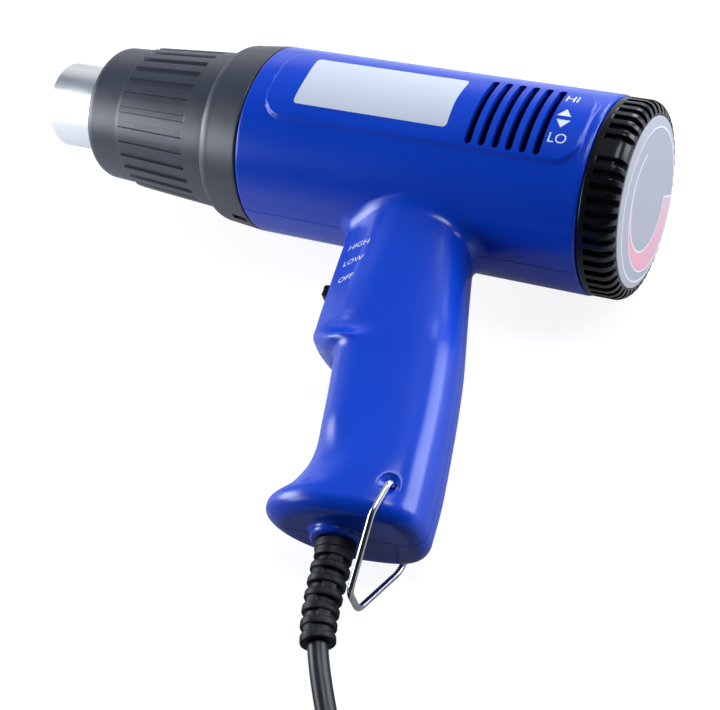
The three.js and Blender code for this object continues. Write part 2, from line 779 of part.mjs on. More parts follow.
// Dial with its ribbed rim and printed face
const dialFront = barrelRear + runGap;
const dialRear = barrelRear + dialDepth;
const faceSeat = dialRear - faceThickness;
const webFront = faceSeat - dialWeb;
const dialInside = dialRadius - dialSlotDepth - dialShell;
const hubFront = bushingEnd + runGap;
const potShaftEnd = webFront - seatGap;
place('pot_shaft', bar(potShaftRadius, potFront + wall + runGap, potShaftEnd, 16), steel);
const rimRound = arc([dialRadius - dialRound, dialRear - dialRound], dialRound, 90, 8, 2);
const dialForm = solid(revolve([
  [0, dialFront], [dialRadius, dialFront], ...rimRound,
  [dialRim, dialRear], [dialRim, faceSeat], [0, faceSeat],
], dialRibs));
const dialHollow = joined([
  solid(ring([
    [dialHubRadius, webFront], [dialInside, webFront],
    [dialInside, dialFront - wall], [dialHubRadius, dialFront - wall],
  ], dialRibs / 2)),
  solid(bar(dialInside, dialFront - wall, hubFront, dialRibs / 2)),
  solid(bar(potShaftRadius + seatGap, dialFront - wall, webFront, 16)),
]);
function slotCutter() {
  const floor = new THREE.Shape();
  const start = dialFront + dialBand;
  const low = dialRadius - dialSlotDepth;
  floor.moveTo(start, outside);
  floor.lineTo(start, low);
  floor.lineTo(dialRear - dialRound, low);
  floor.lineTo(dialRear, dialRim + seatGap);
  floor.lineTo(dialRear, outside);
  return plate(floor, -dialSlotWidth / 2, dialSlotWidth / 2);
}
const dialSlots = Array.from({ length: dialRibs - 1 }, (_, i) => {
  const angle = rad(dialIndexAngle + (360 * (i + 1)) / dialRibs);
  return solid(slotCutter().rotateX(Math.PI / 2 - angle));
});
place('temperature_dial', shapeOf(dialForm.subtract(joined([dialHollow, ...dialSlots]))), black);
place('dial_face', bar(dialRim - seatGap, faceSeat + seatGap, dialRear + seatGap, dialRibs), faceGrey);

// Slide switch and its thumb slider
place('switch_body', box([switchDepth, switchLength, switchWidth],
  [switchInside + switchDepth / 2, slotCentre, 0]), black, switchFrame);
const sliderMiddle = sliderInside + sliderThickness / 2;
const nubOutline = roundedOutline(nubProud + sliderMiddle, nubLength / 2, nubRound);
const nubSide = solid(plate(nubOutline, -nubWidth / 2, nubWidth / 2, 3).translate(sliderMiddle, 0, 0));
const nubForm = nubSide.subtract(solid(
  box([outside, outside, outside], [sliderMiddle + outside / 2, 0, 0]),
));
const sliderPlate = solid(box(
  [sliderThickness, sliderLength, 2 * sliderHalf],
  [sliderMiddle, 0, 0],
));
place('switch_slider', shapeOf(sliderPlate.add(nubForm)), black, switchFrame);

// Hanging bail: one bent wire, sprung into a hole in each half
const footAcross = bailPivotAcross - bailPivotRise * Math.tan(rad(bailLean));
const bailLegSide = handleSide(handleBottom - handleFoot, footAcross) + bailWire + runGap;
function bailCurve() {
  const route = [
    [bailEndSide, 0], [bailLegSide, 0], [bailLegSide, bailLeg], [bailTipHalf, bailLength],
    [-bailTipHalf, bailLength], [-bailLegSide, bailLeg], [-bailLegSide, 0], [-bailEndSide, 0],
  ].map(([side, reach]) => new THREE.Vector3(0, -reach, side));
  const points = [route[0]];
  for (let i = 1; i + 1 < route.length; i += 1) {
    const into = route[i - 1].clone().sub(route[i]).setLength(bailBend);
    const away = route[i + 1].clone().sub(route[i]).setLength(bailBend);
    const bend = new THREE.QuadraticBezierCurve3(
      route[i].clone().add(into), route[i], route[i].clone().add(away),
    );
    points.push(...bend.getPoints(3));
  }
  points.push(route[route.length - 1]);
  return points;
}
const bailFrame = new THREE.Group();
bailFrame.position.set(bailPivotAcross, -bailPivotDown, 0);
bailFrame.rotation.z = -rad(bailLean);
handleFrame.add(bailFrame);
place('hang_bail', tube(bailCurve(), bailWire, 8, new THREE.Vector3(1, 0, 0)), steel, bailFrame);

// Strain relief, the cord's tail inside the handle and its clamp
const floorRise = wall + footSlope * reliefFlange;
const flangeTop = handleBottom - floorRise - seatGap - reliefFlangeThickness;
const reliefStart = handleBottom + reliefBoss + seatGap;
const ribStart = reliefStart + reliefCollarLength;
const ribs = Array.from({ length: reliefRibs }, (_, i) => {
  const crest = reliefCollar - (reliefTaper * i) / reliefRibs;
  const end = ribStart + (i + 1) * reliefPitch;
  const start = end - reliefRibLength;
  return [[reliefRoot, start], [crest, start], [crest, end], [reliefRoot, end]];
}).flat();
const reliefEnd = ribStart + reliefRibs * reliefPitch;
const relief = revolve([
  [0, flangeTop], [reliefFlange, flangeTop], [reliefFlange, flangeTop + reliefFlangeThickness],
  [reliefNeck, flangeTop + reliefFlangeThickness], [reliefNeck, reliefStart],
  [reliefCollar, reliefStart], [reliefCollar, ribStart], [reliefRoot, ribStart],
  ...ribs.slice(0, -1), [ribs[ribs.length - 1][0] + seatGap, reliefEnd], [0, reliefEnd],
], 12);
relief.rotateZ(-Math.PI / 2).translate(reliefAcross, 0, 0);
const reliefRun = reliefEnd - reliefStart;
const reliefSpots = relief.getAttribute('position');
for (let i = 0; i < reliefSpots.count; i += 1) {
  const down = -reliefSpots.getY(i);
  const off = reliefSpots.getX(i) - reliefAcross;
  const t = Math.max(down - reliefStart, 0) / reliefRun;
  const slope = Math.atan(reliefSwing * (3 * t * t - 2 * t) / reliefRun);
  const across = reliefAcross - reliefSwing * t * t * (1 - t);
  reliefSpots.setXY(i, across + off * Math.cos(slope), -down + off * Math.sin(slope));
}
place('strain_relief', relief, rubber, handleFrame);

const tailEnd = flangeTop - seatGap;
place('cord_tail', bar(cordRadius, tailEnd - tailLength, tailEnd, 16)
  .rotateZ(-Math.PI / 2).translate(reliefAcross, 0, 0), rubber, handleFrame);
const clampHalf = cordRadius + seatGap + 2 * clampPost;
const clampBar = solid(box([2 * clampHalf, clampWidth, clampThickness],
  [reliefAcross, -clampDown, clampSeat - clampThickness / 2]));
const clampBores = [-1, 1].map((end) => solid(post(clampScrewRadius + seatGap,
  [reliefAcross + end * (cordRadius + seatGap + clampPost), -clampDown], -outside, outside, 12)));
place('cord_clamp', shapeOf(clampBar.subtract(joined(clampBores)))
  .translate(0, 0, -seatGap), black, handleFrame);
clampPlaces.forEach((spot, i) => {
  const seat = clampSeat - clampThickness - 2 * seatGap;
  const inHead = seat - clampScrewHeadHeight / 2;
  const shank = solid(post(clampScrewRadius, spot, inHead, clampScrewReach - seatGap, 8));
  const head = solid(post(clampScrewHead, spot, seat - clampScrewHeadHeight, seat, 10));
  place(`clamp_screw_${i + 1}`, shapeOf(head.add(shank)), zinc);
});

// The tool lies on its right side, leaning until barrel and handle reach one level
const corners = [];
tool.updateWorldMatrix(true, true);
tool.traverse((mesh) => {
  if (!mesh.isMesh) return;
  const spots = mesh.geometry.getAttribute('position');
  for (let i = 0; i < spots.count; i += 1) {
    corners.push(new THREE.Vector3().fromBufferAttribute(spots, i).applyMatrix4(mesh.matrixWorld));
  }
});
const lowest = (list, lean) => list.reduce((low, spot) =>
  Math.min(low, spot.y * Math.sin(lean) + spot.z * Math.cos(lean)), Infinity);
const barrelCorners = corners.filter((spot) => spot.y > -barrelRadius - panelRise);
const handleCorners = corners.filter((spot) => spot.y <= -barrelRadius - panelRise);
let [leanLow, leanHigh] = [0, Math.PI / 4];
while (leanHigh - leanLow > 1e-7) {
  const middle = (leanLow + leanHigh) / 2;
  if (lowest(handleCorners, middle) < lowest(barrelCorners, middle)) leanHigh = middle;
  else leanLow = middle;
}
tool.rotation.x = leanLow;
const toolBox = new THREE.Box3().setFromObject(tool, true);
const toolCentre = toolBox.getCenter(new THREE.Vector3());
tool.position.set(-toolCentre.x, -toolCentre.y, -toolBox.min.z);
tool.updateWorldMatrix(true, true);

const part = new THREE.Group();
part.add(tool);

// Where the cord leaves the strain relief, and where the coil takes it up
const swingEnd = Math.atan(reliefSwing / reliefRun);
const cordStart = handleFrame.localToWorld(new THREE.Vector3(reliefAcross, -reliefEnd - seatGap, 0));
const cordOut = new THREE.Vector3(Math.sin(swingEnd), -Math.cos(swingEnd), 0)
  .transformDirection(handleFrame.matrixWorld);
const coilHeight = tieThickness + seatGap + cordRadius;
const entry = rad(coilEntry);
const coilHeading = new THREE.Vector3(Math.sin(entry), -Math.cos(entry), 0);
const cordEnd = new THREE.Vector3(
  cordStart.x + cordRun * Math.sin(rad(cordDrift)),
  cordStart.y - cordRun * Math.cos(rad(cordDrift)),
  coilHeight,
);

// Coil: piled loops that wind in on the table, climb a layer and wind out again
const coilPitch = 2 * cordRadius + coilGap;
const coilLow = cordEnd.clone().addScaledVector(coilHeading, seatGap);
const coilCentre = coilLow.clone().addScaledVector(coilHeading, coilLead)
  .sub(new THREE.Vector3(coilOuter * Math.cos(entry), coilOuter * Math.sin(entry), 0));
const loopSteps = 24;
const innermost = coilLoops / 2;
const coilReach = (loops) => coilOuter - coilPitch * (innermost - Math.abs(loops - innermost));
function coilPoints() {
  const points = Array.from({ length: coilLoops * loopSteps + 1 }, (_, i) => {
    const loops = i / loopSteps;
    const angle = entry - 2 * Math.PI * loops;
    const climb = THREE.MathUtils.smoothstep(loops, innermost - 0.25, innermost + 0.25);
    return new THREE.Vector3(
      coilCentre.x + coilReach(loops) * Math.cos(angle),
      coilCentre.y + coilReach(loops) * Math.sin(angle),
      coilHeight + coilPitch * climb,
    );
  });
  const last = points[points.length - 1];
  const tail = [1 / 2, 1].map((share) =>
    new THREE.Vector3(last.x - coilTail * share, last.y, plugHalfHeight + seatGap));
  return [coilLow, ...points, ...tail];
}
const coilLine = coilPoints();
const upright = new THREE.Vector3(0, 0, 1);
place('cord_coil', tube(coilLine, cordRadius, 6, upright), rubber, part);
let closest = Infinity;
coilLine.forEach((point, i) => {
  coilLine.slice(i + loopSteps / 2).forEach((other) => {
    closest = Math.min(closest, point.distanceTo(other));
  });
});
console.log(`cord_coil least gap to itself ${(closest - 2 * cordRadius).toFixed(2)} mm`);

// Free stretch from the strain relief to the coil
const cordRoute = new THREE.CubicBezierCurve3(
  cordStart,
  cordStart.clone().addScaledVector(cordOut, cordStartBend),
  cordEnd.clone().addScaledVector(coilHeading, -cordEndBend),
  cordEnd,
);
const cordSection = new THREE.Shape().absarc(0, 0, cordRadius, 0, 2 * Math.PI);
place('power_cord', new THREE.ExtrudeGeometry(cordSection, {
  extrudePath: cordRoute, steps: 8, curveSegments: 5, bevelEnabled: false,
}), rubber, part);

// Tie round the loops on the far side of the coil
const tieLoops = Array.from({ length: Math.round(coilLoops) }, (_, i) => coilReach(i + 0.5));
const tieInner = Math.min(...tieLoops) - cordRadius - tieSlack;
const tieOuter = Math.max(...tieLoops) + cordRadius + tieSlack;
const tieLow = coilHeight - cordRadius - seatGap;
const tieHigh = coilHeight + coilPitch + cordRadius + seatGap;
const [tieHalfWidth, tieHalfHeight] = [(tieOuter - tieInner) / 2, (tieHigh - tieLow) / 2];
const tieBand = roundedOutline(
  tieHalfWidth + tieThickness, tieHalfHeight + tieThickness, tieSlack + tieThickness,
);
tieBand.holes.push(roundedOutline(tieHalfWidth, tieHalfHeight, tieSlack));
place('cord_tie', plate(tieBand, -tieWidth / 2, tieWidth / 2, 2).rotateX(Math.PI / 2).translate(
  coilCentre.x - (tieInner + tieOuter) / 2, coilCentre.y, (tieLow + tieHigh) / 2,
), black, part);

// Plug: a rubber body with a tapered neck, two blades and an earth pin
const plugStart = coilLine[coilLine.length - 1].clone().sub(new THREE.Vector3(seatGap, 0, 0));
const plugFrame = new THREE.Group();
plugFrame.position.copy(plugStart);
plugFrame.rotation.y = Math.PI;
part.add(plugFrame);
const plugLength = plugNeckLength + plugHeadLength;
const plugRings = [
  [0, plugNeck, plugNeck],
  [plugNeckLength - plugShoulder, plugNeck + plugNeckFlare, plugNeck + plugNeckFlare],
  [plugNeckLength, plugHalfWidth - plugShoulder, plugHalfHeight - plugShoulder],
  [plugNeckLength + plugShoulder, plugHalfWidth, plugHalfHeight],
  [plugLength - plugEdge, plugHalfWidth, plugHalfHeight],
  [plugLength, plugHalfWidth - plugEdge, plugHalfHeight - plugEdge],
].map(([along, halfWidth, halfHeight]) => Array.from({ length: 16 }, (_, i) => {
  const angle = (2 * Math.PI * i) / 16;
  const bulge = (value) => Math.sign(value) * Math.sqrt(Math.abs(value));
  return new THREE.Vector3(along, halfWidth * bulge(Math.cos(angle)), halfHeight * bulge(Math.sin(angle)));
}));
const bladeStart = plugLength - bladeSeat;
const pocketStart = bladeStart - seatGap;
const pocketEnd = plugLength + bladeSeat;
const pinHeight = bladeRaise - pinDrop;
const pockets = [-1, 1].map((side) => solid(box(
  [pocketEnd - pocketStart, bladeThickness + 2 * seatGap, bladeWidth + 2 * seatGap],
  [(pocketStart + pocketEnd) / 2, (side * bladeSpacing) / 2, bladeRaise],
)));
const pinPocket = solid(bar(pinRadius + seatGap, pocketStart, pocketEnd, 12).translate(0, 0, pinHeight));
place('plug_body', shapeOf(solid(loft(plugRings)).subtract(joined([...pockets, pinPocket]))),
  rubber, plugFrame);
[-1, 1].forEach((side, i) => {
  const blade = box([bladeSeat + bladeReach, bladeThickness, bladeWidth],
    [bladeStart + (bladeSeat + bladeReach) / 2, (side * bladeSpacing) / 2, bladeRaise]);
  place(`plug_blade_${i + 1}`, blade, steel, plugFrame);
});
place('plug_ground_pin', bar(pinRadius, bladeStart, plugLength + pinReach, 12)
  .translate(0, 0, pinHeight), steel, plugFrame);

export default part;
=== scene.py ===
import math

import bpy
import numpy as np
from mathutils import Matrix


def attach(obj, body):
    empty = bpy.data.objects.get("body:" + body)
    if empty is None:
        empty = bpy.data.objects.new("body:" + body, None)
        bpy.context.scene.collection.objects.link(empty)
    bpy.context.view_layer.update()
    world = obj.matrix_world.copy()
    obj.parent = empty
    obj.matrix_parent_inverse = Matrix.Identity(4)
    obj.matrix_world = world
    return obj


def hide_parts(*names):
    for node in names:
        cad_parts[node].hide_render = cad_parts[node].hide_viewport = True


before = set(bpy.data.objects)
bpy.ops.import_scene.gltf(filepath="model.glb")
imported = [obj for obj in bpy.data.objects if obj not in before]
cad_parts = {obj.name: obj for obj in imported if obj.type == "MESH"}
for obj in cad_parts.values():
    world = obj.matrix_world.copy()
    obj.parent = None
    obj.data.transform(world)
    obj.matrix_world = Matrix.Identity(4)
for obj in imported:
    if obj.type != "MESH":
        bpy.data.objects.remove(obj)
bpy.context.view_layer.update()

# Placing: lengths are millimetres in the tool's own frame (x towards the dial, y up, z to its left)
MM = 0.001
LEAN = math.radians(6.4993465)
SHIFT = np.array([22.650, 80.3293, 38.1287])
TURN = np.array([
    [1, 0, 0],
    [0, math.cos(LEAN), -math.sin(LEAN)],
    [0, math.sin(LEAN), math.cos(LEAN)],
])

# Barrel and raised panel
BARREL_R = 37.0
BARREL_FRONT = -47.0
BARREL_REAR = 91.0
WALL = 2.5
BORE_R = BARREL_R - WALL
PANEL_X = (-38.5, 87.5)
PANEL_HALF = 16.7
PANEL_CORNER = 9.0
PANEL_RISE = 1.2
PARTING = 0.3

# Handle, in stations down its raked axis and widths across it
RAKE = math.radians(15.6)
HANDLE_BOTTOM = 167.0
FOOT_ROUND = 5.8
FOOT_SLOPE = math.tan(math.radians(7.7))
FOOT_START = 130.0
FRONT_FULLNESS = 1.8
BACK_FULLNESS = 3.1
FRONT = [
    (24, -6.5), (50, -10.6), (78, -13.9), (87, -15), (91, -13.4), (96, -8.6), (99, -6), (107, -5.3),
    (133, -5.3), (144, -7.3), (149, -9.6), (154, -13.3), (159, -18.9), (168, -17.2),
]
BACK = [(24, 37.7), (66, 39.2), (105, 41), (145, 39.7), (168, 37.1)]
HALF = [(24, 17.2), (66, 18), (105, 17.6), (130, 17.8), (150, 19), (168, 19.4)]

# Front of the upper handle: a round nose, a flat facet behind it and the edge where the flat side starts
NOSE_FRONT = [
    (24, -7.0), (50, -10.8), (78, -14.1), (84, -14.6), (87, -14.8), (91, -13.0), (96, -8.1), (99, -3.9),
    (107, -3.2), (133, -3.1), (144, -4.2), (152, -7.0),
]
NOSE_R = [(24, 7), (84, 7), (88, 8), (97, 12), (130, 12.5), (150, 14)]
FACET_DROP = [(24, 10.2), (84, 11), (88, 9), (98, 0), (150, 0)]
FACET_EDGE = [(24, 9), (50, 7.5), (84, 4.5), (97, 14), (150, 14)]
FACET_ROUND = 4.5
FACET_TILT = 0.6
FACET_FADE = (128, 150)
GRIP_FADE = 3.0

# Roundings where the housing's forms meet; the handle's blend changes along the barrel
BARREL_EDGE = 0.8
PANEL_EDGE = 0.9
PANEL_FOOT = 0.4
PANEL_SIDE, PANEL_SIDE_EDGE = 20.0, 0.5
BLEND_FRONT = 5.5
BLEND_SIDE = 4.0
BLEND_BACK = 7.0
FRONT_FADE = (0, 16)
BACK_FADE = (40, 56)
HANDLE_TOP = 20.0

# Relief boss, bail pivot and switch
RELIEF_V = 7.2
BOSS_R = 9.1
BOSS_START, BOSS_END = 150.0, 170.0
BOSS_EDGE, BOSS_FOOT = 1.6, 1.2
RELIEF_START = 170.3
RELIEF_END = 205.7
RELIEF_SWING = 7.0
PIVOT = (157.5, 28.2)
PIVOT_SIDE = 17.53
DIMPLE_R = 3.4
DIMPLE_DEPTH = 1.5
DIMPLE_EDGE = 0.5
BAIL_SIDE = 19.757
SWITCH_OFF = 66.5
SWITCH_TRAVEL = 15.6
NUB_HALF = 2.5

CORD_R = 3.4


def to_part(points):
    """From millimetres in the tool's frame to metres in the part's."""
    return (np.asarray(points, float) @ TURN.T + SHIFT) * MM


def handle_point(down, across, side=0.0):
    """A point of the tool's frame from a station down the handle, a width across it and a side."""
    return (
        down * math.sin(RAKE) + across * math.cos(RAKE),
        -down * math.cos(RAKE) + across * math.sin(RAKE),
        side,
    )


def through(points):
    """A smooth curve through (station, value) points."""
    s = np.array([p[0] for p in points], float)
    v = np.array([p[1] for p in points], float)
    before = np.maximum(np.arange(len(s)) - 1, 0)
    after = np.minimum(np.arange(len(s)) + 1, len(s) - 1)
    slope = (v[after] - v[before]) / (s[after] - s[before])

    def at(x):
        i = np.searchsorted(s[1:-1], x, side="left")
        run = s[i + 1] - s[i]
        t = np.clip((x - s[i]) / run, 0, 1)
        ease = t * t * (3 - 2 * t)
        bend = slope[i] * t * (1 - t) ** 2 - slope[i + 1] * t * t * (1 - t)
        return v[i] * (1 - ease) + v[i + 1] * ease + run * bend

    return at


front_at, back_at, half_at = through(FRONT), through(BACK), through(HALF)
nose_front, nose_radius = through(NOSE_FRONT), through(NOSE_R)
facet_drop, facet_edge = through(FACET_DROP), through(FACET_EDGE)


def smooth_step(x, low, high):
    t = np.clip((x - low) / (high - low), 0, 1)
    return t * t * (3 - 2 * t)


# Materials

def rgb(r, g, b):
    """A linear colour from display values of 0 to 255."""
    return tuple(((c / 255 + 0.055) / 1.055) ** 2.4 if c > 10 else c / 255 / 12.92 for c in (r, g, b))


class Nodes:
    """A material's nodes, with the patterns that all of them use."""

    def __init__(self, name):
        self.material = bpy.data.materials.new(name)
        self.material.use_nodes = True
        self.tree = self.material.node_tree
        self.shader = self.tree.nodes["Principled BSDF"]
        self.place = self.add("ShaderNodeTexCoord").outputs["Object"]

    def add(self, kind, **values):
        node = self.tree.nodes.new(kind)
        for key, value in values.items():
            if key in node.inputs:
                node.inputs[key].default_value = value
            else:
                setattr(node, key, value)
        return node

    def link(self, out, to):
        self.tree.links.new(out, to)

    def noise(self, scale, detail):
        node = self.add("ShaderNodeTexNoise", Scale=scale, Detail=detail, Roughness=0.55)
        self.link(self.place, node.inputs["Vector"])
        return node.outputs["Fac"]

    def spread(self, value, low, high, start=0.3, end=0.7):
        limits = {"From Min": start, "From Max": end, "To Min": low, "To Max": high}
        node = self.add("ShaderNodeMapRange", **limits)
        self.link(value, node.inputs["Value"])
        return node.outputs["Result"]

    def tint(self, value, dark, light):
        node = self.add("ShaderNodeMix", data_type="RGBA")
        sockets = [s for s in node.inputs if s.type == "RGBA"]
        sockets[0].default_value = (*dark, 1)
        sockets[1].default_value = (*light, 1)
        self.link(value, node.inputs[0])
        self.link([o for o in node.outputs if o.type == "RGBA"][0], self.shader.inputs["Base Color"])

    def bump(self, height, distance):
        node = self.add("ShaderNodeBump", Strength=1.0, Distance=distance)
        self.link(height, node.inputs["Height"])
        self.link(node.outputs["Normal"], self.shader.inputs["Normal"])


def plastic(name, dark, light, rough, grain, depth, patch=35.0, specular=0.5):
    """Moulded plastic: cloudy colour, slightly uneven gloss and a fine grain."""
    n = Nodes(name)
    n.tint(n.noise(patch, 2), dark, light)
    n.link(n.spread(n.noise(patch * 2, 2), rough * 0.94, rough * 1.08), n.shader.inputs["Roughness"])
    n.bump(n.noise(grain, 2), depth)
    n.shader.inputs["Specular IOR Level"].default_value = specular
    return n.material


def metal(name, dark, light, rough, stretch=None):
    """Metal with faint stains, uneven gloss and, if stretched, marks along one axis."""
    n = Nodes(name)
    n.shader.inputs["Metallic"].default_value = 1.0
    if stretch:
        mapping = n.add("ShaderNodeMapping")
        mapping.inputs["Scale"].default_value = stretch
        n.link(n.place, mapping.inputs["Vector"])
        n.place = mapping.outputs["Vector"]
    n.tint(n.noise(60, 4), dark, light)
    n.link(n.spread(n.noise(240, 3), rough * 0.8, rough * 1.25), n.shader.inputs["Roughness"])
    n.bump(n.noise(900, 2), 2e-6)
    return n.material


BLUE = plastic("moulded_blue", rgb(6, 63, 196), rgb(9, 70, 205), 0.24, 1500, 4e-6, patch=22)
GUARD = plastic("satin_grey", rgb(40, 44, 57), rgb(52, 56, 71), 0.4, 2200, 1.2e-5, 60, specular=0.75)
BLACK = plastic("semi_gloss_black", rgb(9, 10, 13), rgb(16, 17, 21), 0.25, 1800, 6e-6, 50, specular=0.36)
RUBBER = plastic("relief_rubber", rgb(12, 13, 17), rgb(19, 20, 25), 0.5, 2400, 1.2e-5, 70, specular=0.3)
SHEATH = plastic("cord_sheath", rgb(15, 16, 22), rgb(24, 26, 33), 0.36, 1400, 6e-6, patch=90)
FACE = plastic("dial_disc", rgb(164, 164, 177), rgb(174, 174, 186), 0.34, 2600, 4e-6, patch=40)
RING = plastic("dial_ring", rgb(172, 172, 183), rgb(182, 181, 191), 0.32, 2600, 4e-6, patch=40)
PRINT = plastic("white_print", rgb(224, 230, 240), rgb(242, 245, 250), 0.4, 3000, 3e-6, patch=80)
LABEL = plastic("bare_label", rgb(208, 213, 226), rgb(219, 223, 234), 0.3, 2600, 3e-6, patch=30)
TIE = plastic("tie_black", rgb(20, 21, 25), rgb(30, 31, 36), 0.4, 2600, 1e-5, patch=80)
STEEL = metal("bright_steel", rgb(214, 217, 222), rgb(236, 238, 241), 0.14)
TUBE = metal("tube_steel", rgb(218, 220, 224), rgb(240, 241, 243), 0.36, stretch=(0.15, 1, 1))
ZINC = metal("zinc_plate", rgb(150, 152, 158), rgb(178, 180, 186), 0.36)
BRASS = metal("plug_metal", rgb(205, 190, 150), rgb(222, 208, 170), 0.2)
NICHROME = metal("resistance_wire", rgb(116, 108, 100), rgb(140, 132, 122), 0.4)
MICA = plastic("mica_board", rgb(176, 160, 132), rgb(206, 192, 164), 0.6, 900, 2e-5, patch=120)
FAN = plastic("fan_plastic", rgb(40, 42, 48), rgb(54, 56, 62), 0.45, 1800, 8e-6, patch=60)


HEAT_FADE = (0.062, 0.1)


def heat_print():
    """Printed red that fades from the crescent's foot to its wide end."""
    n = Nodes("heat_mark")
    split = n.add("ShaderNodeSeparateXYZ")
    n.link(n.place, split.inputs["Vector"])
    fade = n.spread(split.outputs["Y"], 0.0, 1.0, *HEAT_FADE)
    n.tint(fade, rgb(240, 160, 176), rgb(224, 184, 199))
    n.link(n.spread(n.noise(80, 2), 0.31, 0.37), n.shader.inputs["Roughness"])
    n.bump(n.noise(2600, 2), 3e-6)
    return n.material


RED = heat_print()
BOARD = plastic("circuit_board", rgb(36, 76, 46), rgb(52, 98, 60), 0.42, 1600, 8e-6, patch=200)


# Meshes

def linked(name, data):
    """A new object in the scene for a mesh, curve, lamp or camera."""
    obj = bpy.data.objects.new(name, data)
    bpy.context.scene.collection.objects.link(obj)
    return obj


def fill(mesh, verts, faces):
    """Puts vertices and arrays of faces, each of one corner count, into an empty mesh."""
    corners = np.concatenate([np.asarray(f).ravel() for f in faces]).astype(np.int32)
    sizes = np.concatenate([np.full(len(f), np.asarray(f).shape[1]) for f in faces])
    starts = np.concatenate([[0], np.cumsum(sizes)[:-1]]).astype(np.int32)
    mesh.vertices.add(len(verts))
    mesh.vertices.foreach_set("co", np.asarray(verts, np.float32).ravel())
    mesh.loops.add(len(corners))
    mesh.loops.foreach_set("vertex_index", corners)
    mesh.polygons.add(len(sizes))
    mesh.polygons.foreach_set("loop_start", starts)
    mesh.update(calc_edges=True)
    mesh.validate()


def loose(name, verts, faces, placed=to_part):
    """A mesh object without a finish: a cutter, or a piece that is still to be cut."""
    mesh = bpy.data.meshes.new(name)
    fill(mesh, placed(verts), faces)
    return linked(name, mesh)


def piece(name, verts, faces, material, body="tool", slot=None, stands_for=(), crease=35, placed=to_part):
    """A finished piece made in one go."""
    return dress(loose(name, verts, faces, placed), material, body, slot, stands_for, crease)


def dress(obj, material, body="tool", slot=None, stands_for=(), crease=35):
    """Gives a piece its material, its body and the nodes that it stands for; the slot is not used."""
    mesh = obj.data
    mesh.materials.clear()
    mesh.materials.append(material)
    if crease is not None:
        mesh.polygons.foreach_set("use_smooth", np.ones(len(mesh.polygons), bool))
        mesh.set_sharp_from_angle(angle=math.radians(crease))
    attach(obj, body)
    if stands_for:
        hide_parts(*stands_for)
    return obj


def read(items, name, width=1, kind=float):
    """One attribute of a mesh's vertices, loops or faces as an array."""
    values = np.empty(len(items) * width, kind)
    items.foreach_get(name, values)
    return values.reshape(-1, width) if width > 1 else values


def grid_faces(rows, cols, wrap_rows=False):
    """Quads between rows of points, each row a closed ring."""
    r, c = np.meshgrid(np.arange(rows if wrap_rows else rows - 1), np.arange(cols), indexing="ij")
    r2, c2 = (r + 1) % rows, (c + 1) % cols
    quads = np.stack([r * cols + c, r * cols + c2, r2 * cols + c2, r2 * cols + c], -1)
    return quads.reshape(-1, 4)


def rounded(points, radii, steps=5):
    """A closed outline with each corner turned by its radius."""
    out = []
    count = len(points)
    for i in range(count):
        p, a, b = (np.array(points[j % count], float) for j in (i, i - 1, i + 1))
        radius = radii[i] if hasattr(radii, "__len__") else radii
        if not radius:
            out.append(p)
            continue
        u, w = (a - p) / np.linalg.norm(a - p), (b - p) / np.linalg.norm(b - p)
        angle = math.acos(np.clip(u @ w, -1, 1))
        if abs(math.pi - angle) < 1e-3:
            out.append(p)
            continue
        most = 0.49 * min(np.linalg.norm(a - p), np.linalg.norm(b - p))
        reach = min(radius / math.tan(angle / 2), most)
        size = reach * math.tan(angle / 2)
        middle = p + (u + w) / np.linalg.norm(u + w) * size / math.sin(angle / 2)
        start, end = p + u * reach - middle, p + w * reach - middle
        sweep = math.pi - angle
        for k in range(steps + 1):
            t = k / steps
            arm = math.sin((1 - t) * sweep) * start + math.sin(t * sweep) * end
            out.append(middle + arm / math.sin(sweep))
    return np.array(out)


def around(count):
    return np.arange(count) * 2 * math.pi / count


def spun(x, radius, angle):
    """Rings about the x axis, from each one's place and its radius at each angle."""
    rings = [np.repeat(x[:, None], len(angle), 1), radius * np.sin(angle), radius * np.cos(angle)]
    return np.stack(rings, -1).reshape(-1, 3), [grid_faces(len(x), len(angle), wrap_rows=True)]


def revolve(profile, segments):
    """A ring about the x axis from a closed outline of (x, radius) points."""
    profile = np.asarray(profile, float)
    return spun(profile[:, 0], profile[:, 1, None], around(segments))


def tube_along(points, radius, sides, hint):
    """A round tube with flat ends; the hint is any direction that the tube never follows."""
    points = np.asarray(points, float)
    along = np.gradient(points, axis=0)
    along /= np.linalg.norm(along, axis=1)[:, None]
    side = np.cross(np.asarray(hint, float), along)
    side /= np.linalg.norm(side, axis=1)[:, None]
    up = np.cross(along, side)
    angle = around(sides)
    ring = side[:, None] * np.cos(angle)[None, :, None] + up[:, None] * np.sin(angle)[None, :, None]
    verts = (points[:, None] + ring * radius).reshape(-1, 3)
    return verts, capped(len(points), sides)


def capped(rows, cols):
    """Faces of a closed tube of rings."""
    ends = np.arange(cols)[None]
    return [grid_faces(rows, cols), ends[:, ::-1], (rows - 1) * cols + ends]


def merged(*parts):
    """Several meshes as one."""
    verts, faces, start = [], [], 0
    for v, f in parts:
        verts.append(np.asarray(v, float))
        faces += [np.asarray(face) + start for face in f]
        start += len(v)
    return np.concatenate(verts), faces


def combine(target, cutter, operation):
    """Applies one boolean to the target's mesh."""
    modifier = target.modifiers.new("cut", "BOOLEAN")
    modifier.operation = operation
    modifier.solver = "MANIFOLD"
    modifier.object = cutter
    graph = bpy.context.evaluated_depsgraph_get()
    result = bpy.data.meshes.new_from_object(target.evaluated_get(graph))
    target.modifiers.clear()
    old = target.data
    target.data = result
    bpy.data.meshes.remove(old)


def discard(*objs):
    for obj in objs:
        mesh = obj.data
        bpy.data.objects.remove(obj)
        bpy.data.meshes.remove(mesh)


